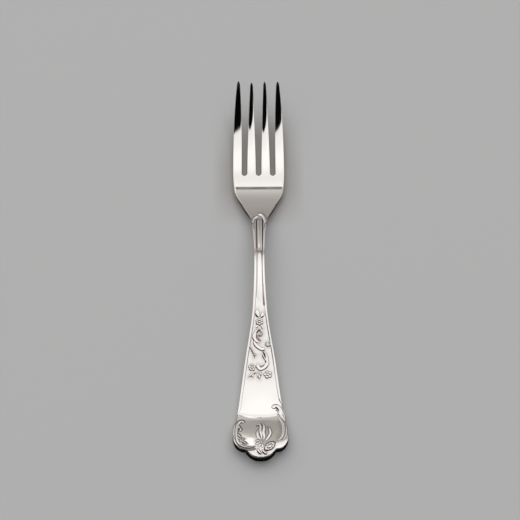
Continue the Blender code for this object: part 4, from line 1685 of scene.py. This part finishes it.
@dataclass
class EndRelief(Relief):
    """Border scrolls, plume, knot, rosette and leaves on the handle end."""

    finish: Silver = DARK_PATINA_AND_SHADE_SILVER
    right_border: float = 1.35
    right_height: float = 0.16
    right_groove: float = 0.12
    left_border: float = 0.945
    left_height: float = 0.20
    left_margin: float = 0.3
    left_fade: float = 0.4
    line: float = 0.5
    field_line: float = 0.8
    plume: float = 1.05
    side_plume: float = 0.945
    plume_height: float = 0.60
    plume_crown: float = 0.4
    plume_rise: Span = (0.08, 1.0)
    leaf: float = 0.62
    fringe_height: float = 0.14
    fringe_margin: float = 0.36
    fringe_fade: float = 0.2
    foot_margin: float = 0.32
    foot_fade: float = 0.3
    rosette_centre: Place = (2.95, 3.8)
    rosette_radius: float = 1.38

    fold_station: float = 14.6
    fold_span: Span = (-7.0, 5.0)
    fold_points: int = 60
    # Box of painted shade over the field, and the corner it leaves clear.
    field_shade_across: Triple = (-6.0, 6.5, 0.8)
    field_shade_along: Triple = (6.0, 15.5, 0.8)
    clear_corner: Place = (-1.5, 9.0)
    side_step: float = 0.2
    ring_points: int = 40

    def figures(self) -> list[Stroke | Flower]:
        """List the figures from the seam to the foot.

        Returns:
            Raised lines and flowers, in place.
        """
        return [*self._right_border(), *self._left_border(), *self._plume(), *self._foot()]

    def _right_border(self) -> list[Stroke]:
        """Draw the scroll at the right of the seam and the lines that run on from it round the field.

        Returns:
            Raised lines, in place.
        """
        scroll = [(4.3, 18.5), (4.6, 19.3), (5.5, 19.4), (6.4, 18.5), (7.1, 16.9), (7.7, 15.2), (8.2, 13.6)]
        field_edge = [(5.5, 16.8), (6.5, 14.7), (7.2, 13.0), (7.5, 11.2), (7.4, 9.2), (6.8, 7.4), (5.9, 6.5),
                      (4.9, 6.0)]
        return [
            Stroke("border_right", scroll, self.right_border, ("end_scroll_right",), self.right_height,
                   (Tip.ROUND, Tip.POINTED), groove=self.right_groove),
            Stroke("border_right_leaf", [(5.0, 18.2), (5.9, 17.6), (6.6, 16.2), (7.1, 14.6)], self.line),
            Stroke("field_line_right", field_edge, self.field_line),
            Stroke("lobe_line_right", [(8.4, 12.4), (8.5, 10.4), (8.4, 8.6), (7.8, 7.2), (6.8, 6.2)],
                   self.line),
        ]

    def _left_border(self) -> list[Stroke]:
        """Draw the scroll round the left of the field, with its fringe and its dark foot.

        Returns:
            Raised lines, in place.
        """
        scroll = [(-5.5, 13.0), (-5.9, 13.7), (-6.8, 13.6), (-7.6, 12.4), (-7.95, 10.4), (-8.0, 8.4),
                  (-7.7, 6.4), (-7.0, 4.8), (-5.8, 3.8), (-4.4, 3.4), (-3.0, 3.35), (-1.6, 3.75)]
        return [
            Stroke("rim_line_left", [(-8.3, 13.2), (-8.75, 10.6), (-8.8, 8.6), (-8.5, 7.0)], self.line),
            Stroke("border_left", scroll, self.left_border, ("end_scroll_left",), self.left_height,
                   (Tip.ROUND, Tip.POINTED), margin=self.left_margin, line_fade=self.left_fade),
            *self._fringe(),
            ShadowLine("border_shadow", [(-5.2, 2.75), (-3.6, 2.6), (-1.5, 2.75)], width=0.2, margin=0.42,
                       line_fade=0.1),
        ]

    def _plume(self) -> list[Stroke]:
        """Draw the leaves of the plume, which rise out of the field from the knot up.

        Returns:
            Raised lines, in place.
        """
        outer = [(0.1, 6.2), (-0.8, 7.5), (-1.05, 9.1), (-0.75, 10.4)]
        left = [(0.45, 6.3), (0.25, 7.9), (-0.1, 10.2), (-0.05, 11.7), (-0.5, 12.5), (-1.4, 11.5)]
        middle = [(0.9, 6.3), (1.2, 7.5), (0.95, 9.4), (1.15, 10.9), (0.9, 12.3), (0.15, 13.0)]
        right = [(1.3, 5.7), (2.3, 6.9), (3.2, 8.8), (3.05, 10.2), (2.75, 11.3), (2.1, 11.4)]
        height, side = self.plume_height, self.side_plume
        looks = {"crown": self.plume_crown, "rise": self.plume_rise}
        return [
            Stroke("plume_leaf_outer", outer, side, height=height / 2, **looks),
            Stroke("plume_leaf_left", left, side, ("plume_left",), height, **looks),
            Stroke("plume_leaf_middle", middle, self.plume, ("plume_middle",), height, **looks),
            Stroke("plume_leaf_right", right, side, ("plume_right",), height, **looks),
        ]

    def _foot(self) -> list[Stroke | Flower]:
        """Draw the knot with its leaves, the rosette and the curls at the foot.

        Returns:
            Raised lines and flowers, in place.
        """
        leaf = self.leaf
        looks = {"margin": self.foot_margin, "line_fade": self.foot_fade}
        return [
            Flower("knot", (0.2, 5.5), 0.75, ("plume_knot",), petals=4, boss=0.5),
            Stroke("knot_leaf_upper", [(-0.2, 5.6), (-1.0, 5.9), (-1.7, 5.5)], leaf),
            Stroke("knot_leaf_left", [(-0.1, 5.2), (-1.0, 4.9), (-1.7, 4.3)], leaf),
            Stroke("knot_leaf_lower", [(0.1, 4.9), (-0.4, 4.2), (-0.9, 3.5)], leaf),
            Stroke("knot_leaf_right", [(0.5, 4.9), (0.6, 4.1), (0.3, 3.2)], leaf),
            Flower("rosette", self.rosette_centre, self.rosette_radius, ("end_rosette",), petals=9,
                   height=0.20, stretch=1.8, lean=0.8, boss=0.42, waist=0.92, gap=0.12),
            Stroke("foot_curl_left", [(-0.95, 2.9), (-0.75, 2.0), (-0.2, 1.2), (0.4, 1.05)], leaf,
                   ("foot_leaf",), **looks),
            Stroke("foot_curl_right", [(0.6, 2.5), (1.0, 1.6), (1.6, 1.1), (2.1, 1.35)], leaf, **looks),
        ]

    def _fringe(self) -> list[Stroke]:
        """Leaves along the inner side of the left border, each from its root to its point.

        Returns:
            The leaves, from the top round to the foot.
        """
        leaves = [((-7.3, 12.2), (-7.1, 11.5), (-7.15, 10.8)), ((-6.5, 11.3), (-6.55, 10.5), (-6.9, 9.6)),
                  ((-7.4, 8.8), (-7.0, 8.0), (-6.4, 7.3)), ((-7.5, 7.5), (-7.2, 7.0), (-6.8, 6.6)),
                  ((-6.3, 6.3), (-5.8, 6.6), (-5.2, 6.6)), ((-6.8, 5.7), (-6.4, 5.0), (-5.9, 4.5)),
                  ((-5.6, 5.7), (-5.1, 5.1), (-4.4, 4.7))]
        return [Stroke(f"border_leaf_{number}", points, self.leaf, height=self.fringe_height,
                       margin=self.fringe_margin, line_fade=self.fringe_fade)
                for number, points in enumerate(leaves, 1)]

    def tarnish_and_shade(self) -> tuple[TarnishAndShade, ...]:
        """Grey round the figures; painted shade over the field, along the fold and down its right side; and
        darker round the rosette and the border's leaves.

        Returns:
            One layer of darkening for each.
        """
        # Painted shade over the field, which leaves clear the corner where the window's reflection falls.
        clear_x, clear_s = self.clear_corner
        field_shade = [(x, s) for x in np.arange(*self.field_shade_across) for s in np.arange(*self.field_shade_along)
               if x > clear_x or s > clear_s]
        # Painted shade along the fold.
        across = np.linspace(*self.fold_span, self.fold_points)
        fold = np.stack([across, self.fold_station + self.form.bow(across)], axis=1)
        # Painted shade down the right side of the field.
        side = smooth_path([(6.2, 14.0), (6.8, 11.4), (6.6, 9.0), (5.6, 7.4)], self.side_step)
        # Darker round the rosette and the border's leaves.
        ring = ring_path(self.rosette_centre, self.rosette_radius, 0.0, FULL_TURN, self.ring_points)
        rosette_and_leaves = np.vstack([ring, *(leaf.path() for leaf in self._fringe())])
        return (
            *super().tarnish_and_shade(),
            TarnishAndShade(np.array(field_shade), strength=0.24),
            TarnishAndShade(fold, reach=1.1, strength=0.7),
            TarnishAndShade(side, reach=1.2, strength=0.55),
            TarnishAndShade(rosette_and_leaves, reach=0.5, strength=0.75),
        )


@dataclass(frozen=True)
class SkyTones:
    """Brightness of the room by the swing from the far horizon, over the top, to the near one."""

    wall: tuple[Span, ...] = ((0.0, 0.20), (28.0, 0.30), (31.5, 0.35), (34.9, 0.37), (37.1, 0.41),
                              (39.6, 0.47), (42.3, 0.57), (46.4, 0.64))
    panel: tuple[Span, ...] = ((47.4, 0.98), (55.0, 0.88), (59.0, 1.04), (66.0, 1.06), (73.0, 0.95),
                               (80.0, 0.91), (81.2, 0.80))
    room: tuple[Span, ...] = ((82.4, 0.0015), (106.0, 0.0015), (114.0, 0.16), (140.0, 0.16),
                              (150.0, 0.02), (165.0, 0.02), (180.0, 0.30))

    def stops(self) -> list[Span]:
        """All swings with their brightness, from the far horizon on."""
        return [*self.wall, *self.panel, *self.room]


@dataclass
class Studio:
    """Pale table, soft light and the camera of the photograph."""

    elevation: float = math.radians(58.0)
    turn: float = math.radians(-0.38)
    distance: float = 0.550
    target: Triple = (0.00025, 0.00347, 0.0)
    focal_pixels: float = 1554.3
    image_pixels: float = 520.0
    sensor: float = 36.0

    tones: SkyTones = field(default_factory=SkyTones)
    half_turn: float = 180.0
    panel_tilt: float = 14.0
    tilt_from: Span = (60.0, 80.0)
    line_start: Span = (43.8, 44.6)
    line_stop: Span = (47.3, 46.7)
    line_core: Span = (0.04, 0.02)
    line_tone: float = 0.18
    window_swing: tuple[Span, Span] = ((42.0, 42.8), (47.4, 47.0))
    window_across: tuple[Span, Span] = ((-0.105, -0.095), (-0.038, -0.046))
    window_tone: float = 1.3
    strips_across: tuple[Span, Span] = ((0.22, 0.30), (0.56, 0.46))
    strips_swing: tuple[Span, Span] = ((12.0, 24.0), (49.0, 47.0))
    strips_tone: float = 0.75
    warm_swing: Span = (48.0, 46.0)
    warm_tint: Triple = (1.02, 1.0, 0.955)
    shade_across: Span = (0.02, 0.09)
    shade_tones: Span = (1.0, 0.80)
    side_edge: Span = (0.60, 0.72)
    side_tone: Triple = (0.32, 0.30, 0.28)
    corner_along: tuple[Span, Span] = ((-0.48, -0.38), (0.30, 0.12))
    corner_tone: Triple = (0.075, 0.055, 0.040)
    ground_span: Span = (0.12, 0.50)
    ground_tones: Span = (0.004, 0.26)
    ground_edge: Span = (0.0, -0.04)

    table_size: float = 8.0
    table_tone: Triple = (0.50, 0.50, 0.502)
    table_dark_share: float = 0.985
    table_drift_scale: float = 6.0
    table_drift_detail: float = 2.0
    table_roughness: float = 0.9
    table_specular: float = 0.1
    head_shadow_across: tuple[Span, Span] = ((-0.017, -0.008), (0.017, 0.008))
    head_shadow_along: tuple[Span, Span] = ((0.018, 0.034), (0.068, 0.045))
    head_shadow_tone: Triple = (0.30, 0.285, 0.265)
    fill_power: float = 3.55
    fill_size: float = 4.6
    fill_place: Triple = (-0.3, 0.5, 2.0)

    def build(self) -> None:
        """Set the table, the light and the camera."""
        self._table()
        self._sky()
        self._fill()
        self._camera()
        bpy.context.scene.view_settings.view_transform = "Standard"

    def _table(self) -> None:
        """Lay a matt table top under the fork."""
        deselect_all()
        bpy.ops.mesh.primitive_plane_add(size=self.table_size)
        table = bpy.context.object
        table.name = "table_top"
        material = bpy.data.materials.new("matt_table")
        material.use_nodes = True
        graph = NodeGraph(material.node_tree)
        shader = material.node_tree.nodes["Principled BSDF"]
        shader.inputs["Roughness"].default_value = self.table_roughness
        shader.inputs["Specular IOR Level"].default_value = self.table_specular
        place = graph.add("ShaderNodeTexCoord").outputs["Object"]
        drift = graph.noise(place, self.table_drift_scale, self.table_drift_detail)
        darker = tuple(self.table_dark_share * value for value in self.table_tone)
        plain_top = graph.mix_colour(drift, self.table_tone, darker)
        axes = graph.add("ShaderNodeSeparateXYZ")
        graph.link(place, axes.inputs["Vector"])
        # Painted shadow on the table under the fork's head.
        shadow = graph.math("MULTIPLY", graph.inside(axes.outputs["X"], self.head_shadow_across),
                            graph.inside(axes.outputs["Y"], self.head_shadow_along))
        graph.link(graph.mix_colour(shadow, plain_top, self.head_shadow_tone), shader.inputs["Base Color"])
        table.data.materials.append(material)
        table.visible_glossy = False
        table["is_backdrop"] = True

    def _sky(self) -> None:
        """Surround the fork with a soft panel, a grey wall with a window in it and a dark room."""
        world = bpy.data.worlds.new("studio")
        bpy.context.scene.world = world
        world.use_nodes = True
        graph = NodeGraph(world.node_tree)
        background = world.node_tree.nodes["Background"]
        axes = graph.add("ShaderNodeSeparateXYZ")
        graph.link(graph.add("ShaderNodeTexCoord").outputs["Generated"], axes.inputs["Vector"])
        x, y, z = axes.outputs
        swing = graph.math("DEGREES", graph.math("ARCTAN2", z, y))
        tilt = graph.math("MULTIPLY", x, graph.ranged(swing, self.tilt_from, (0.0, self.panel_tilt)))
        turned = graph.math("DIVIDE", graph.math("SUBTRACT", swing, tilt), self.half_turn)
        overhead = graph.ramp(turned, [(at / self.half_turn, tone) for at, tone in self.tones.stops()])
        across = graph.math("ABSOLUTE", x)
        band = graph.inside(swing, (self.line_start, self.line_stop))
        line = graph.math("MULTIPLY", band, graph.ranged(across, self.line_core, NONE_TO_FULL))
        warm = graph.ranged(swing, self.warm_swing, NONE_TO_FULL)
        shade = graph.mix_value(warm, 1.0, graph.ranged(x, self.shade_across, self.shade_tones))
        lined = graph.mix_value(line, graph.math("MULTIPLY", overhead, shade), self.line_tone)
        pane = graph.inside(swing, self.window_swing)
        window = graph.math("MULTIPLY", pane, graph.inside(x, self.window_across))
        strips = graph.math("MULTIPLY", graph.inside(across, self.strips_across),
                            graph.inside(swing, self.strips_swing))
        tinted = graph.add("ShaderNodeVectorMath", operation="SCALE")
        graph.link(graph.mix_colour(warm, WHITE, self.warm_tint), tinted.inputs["Vector"])
        graph.link(lined, tinted.inputs["Scale"])
        lit = graph.mix_colour(window, tinted.outputs["Vector"], (self.window_tone,) * 3)
        bright = graph.mix_colour(strips, lit, (self.strips_tone,) * 3)
        aside = graph.ranged(across, self.side_edge, NONE_TO_FULL, smooth=True)
        sides = graph.mix_colour(graph.inside(y, self.corner_along), self.side_tone, self.corner_tone)
        room = graph.mix_colour(aside, bright, sides)
        below = graph.ranged(z, self.ground_edge, NONE_TO_FULL)
        ground = graph.ranged(y, self.ground_span, self.ground_tones)
        graph.link(graph.mix_colour(below, room, ground), background.inputs["Color"])

    def _fill(self) -> None:
        """Hang a wide soft light over the table, half of it without shadow; the silver doesn't mirror it."""
        light = bpy.data.lights.new("soft_fill", "AREA")
        lamp = bpy.data.objects.new("soft_fill", light)
        lamp.location = self.fill_place
        light.energy = self.fill_power * lamp.location.length_squared * math.pi
        light.size = self.fill_size
        lamp.rotation_euler = lamp.location.to_track_quat("Z", "Y").to_euler()
        lamp.visible_glossy = False
        bpy.context.scene.collection.objects.link(lamp)
        glow = lamp.copy()
        glow.data = light.copy()
        glow.data.use_shadow = False
        bpy.context.scene.collection.objects.link(glow)

    def _camera(self) -> None:
        """Place the camera at the photograph's angle."""
        data = bpy.data.cameras.new("portrait")
        data.sensor_width = self.sensor
        data.lens = self.focal_pixels / self.image_pixels * self.sensor
        camera = bpy.data.objects.new("portrait", data)
        level = self.distance * math.cos(self.elevation)
        offset = Vector((level * math.sin(self.turn), -level * math.cos(self.turn),
                         self.distance * math.sin(self.elevation)))
        camera.location = Vector(self.target) + offset
        camera.rotation_euler = (math.pi / 2 - self.elevation, 0.0, self.turn)
        bpy.context.scene.collection.objects.link(camera)
        bpy.context.scene.camera = camera


def main() -> None:
    """Build the fork around its frame and set the studio."""
    logging.basicConfig(level=logging.INFO, format="%(message)s")
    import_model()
    form = ForkForm.from_frame()
    blade_relief = BladeRelief(form)
    end_relief = EndRelief(form)
    blade = Shaft.of(form, "fork_blade", "blade", (form.end_length, form.stem_start), spacing=0.34)
    blade.tarnish_and_shade = blade_relief.tarnish_and_shade()
    end = HandleEnd.of(form)
    end.tarnish_and_shade = end_relief.tarnish_and_shade()
    stem = Shaft.of(form, "fork_stem", "stem", (form.stem_start, form.shoulder_start), spacing=0.3)
    for blank in (Head.of(form), stem, blade, end):
        blank.build()
    Reeding(form).build()
    blade_relief.build()
    end_relief.build()
    Studio().build()


if __name__ == "__main__":
    main()
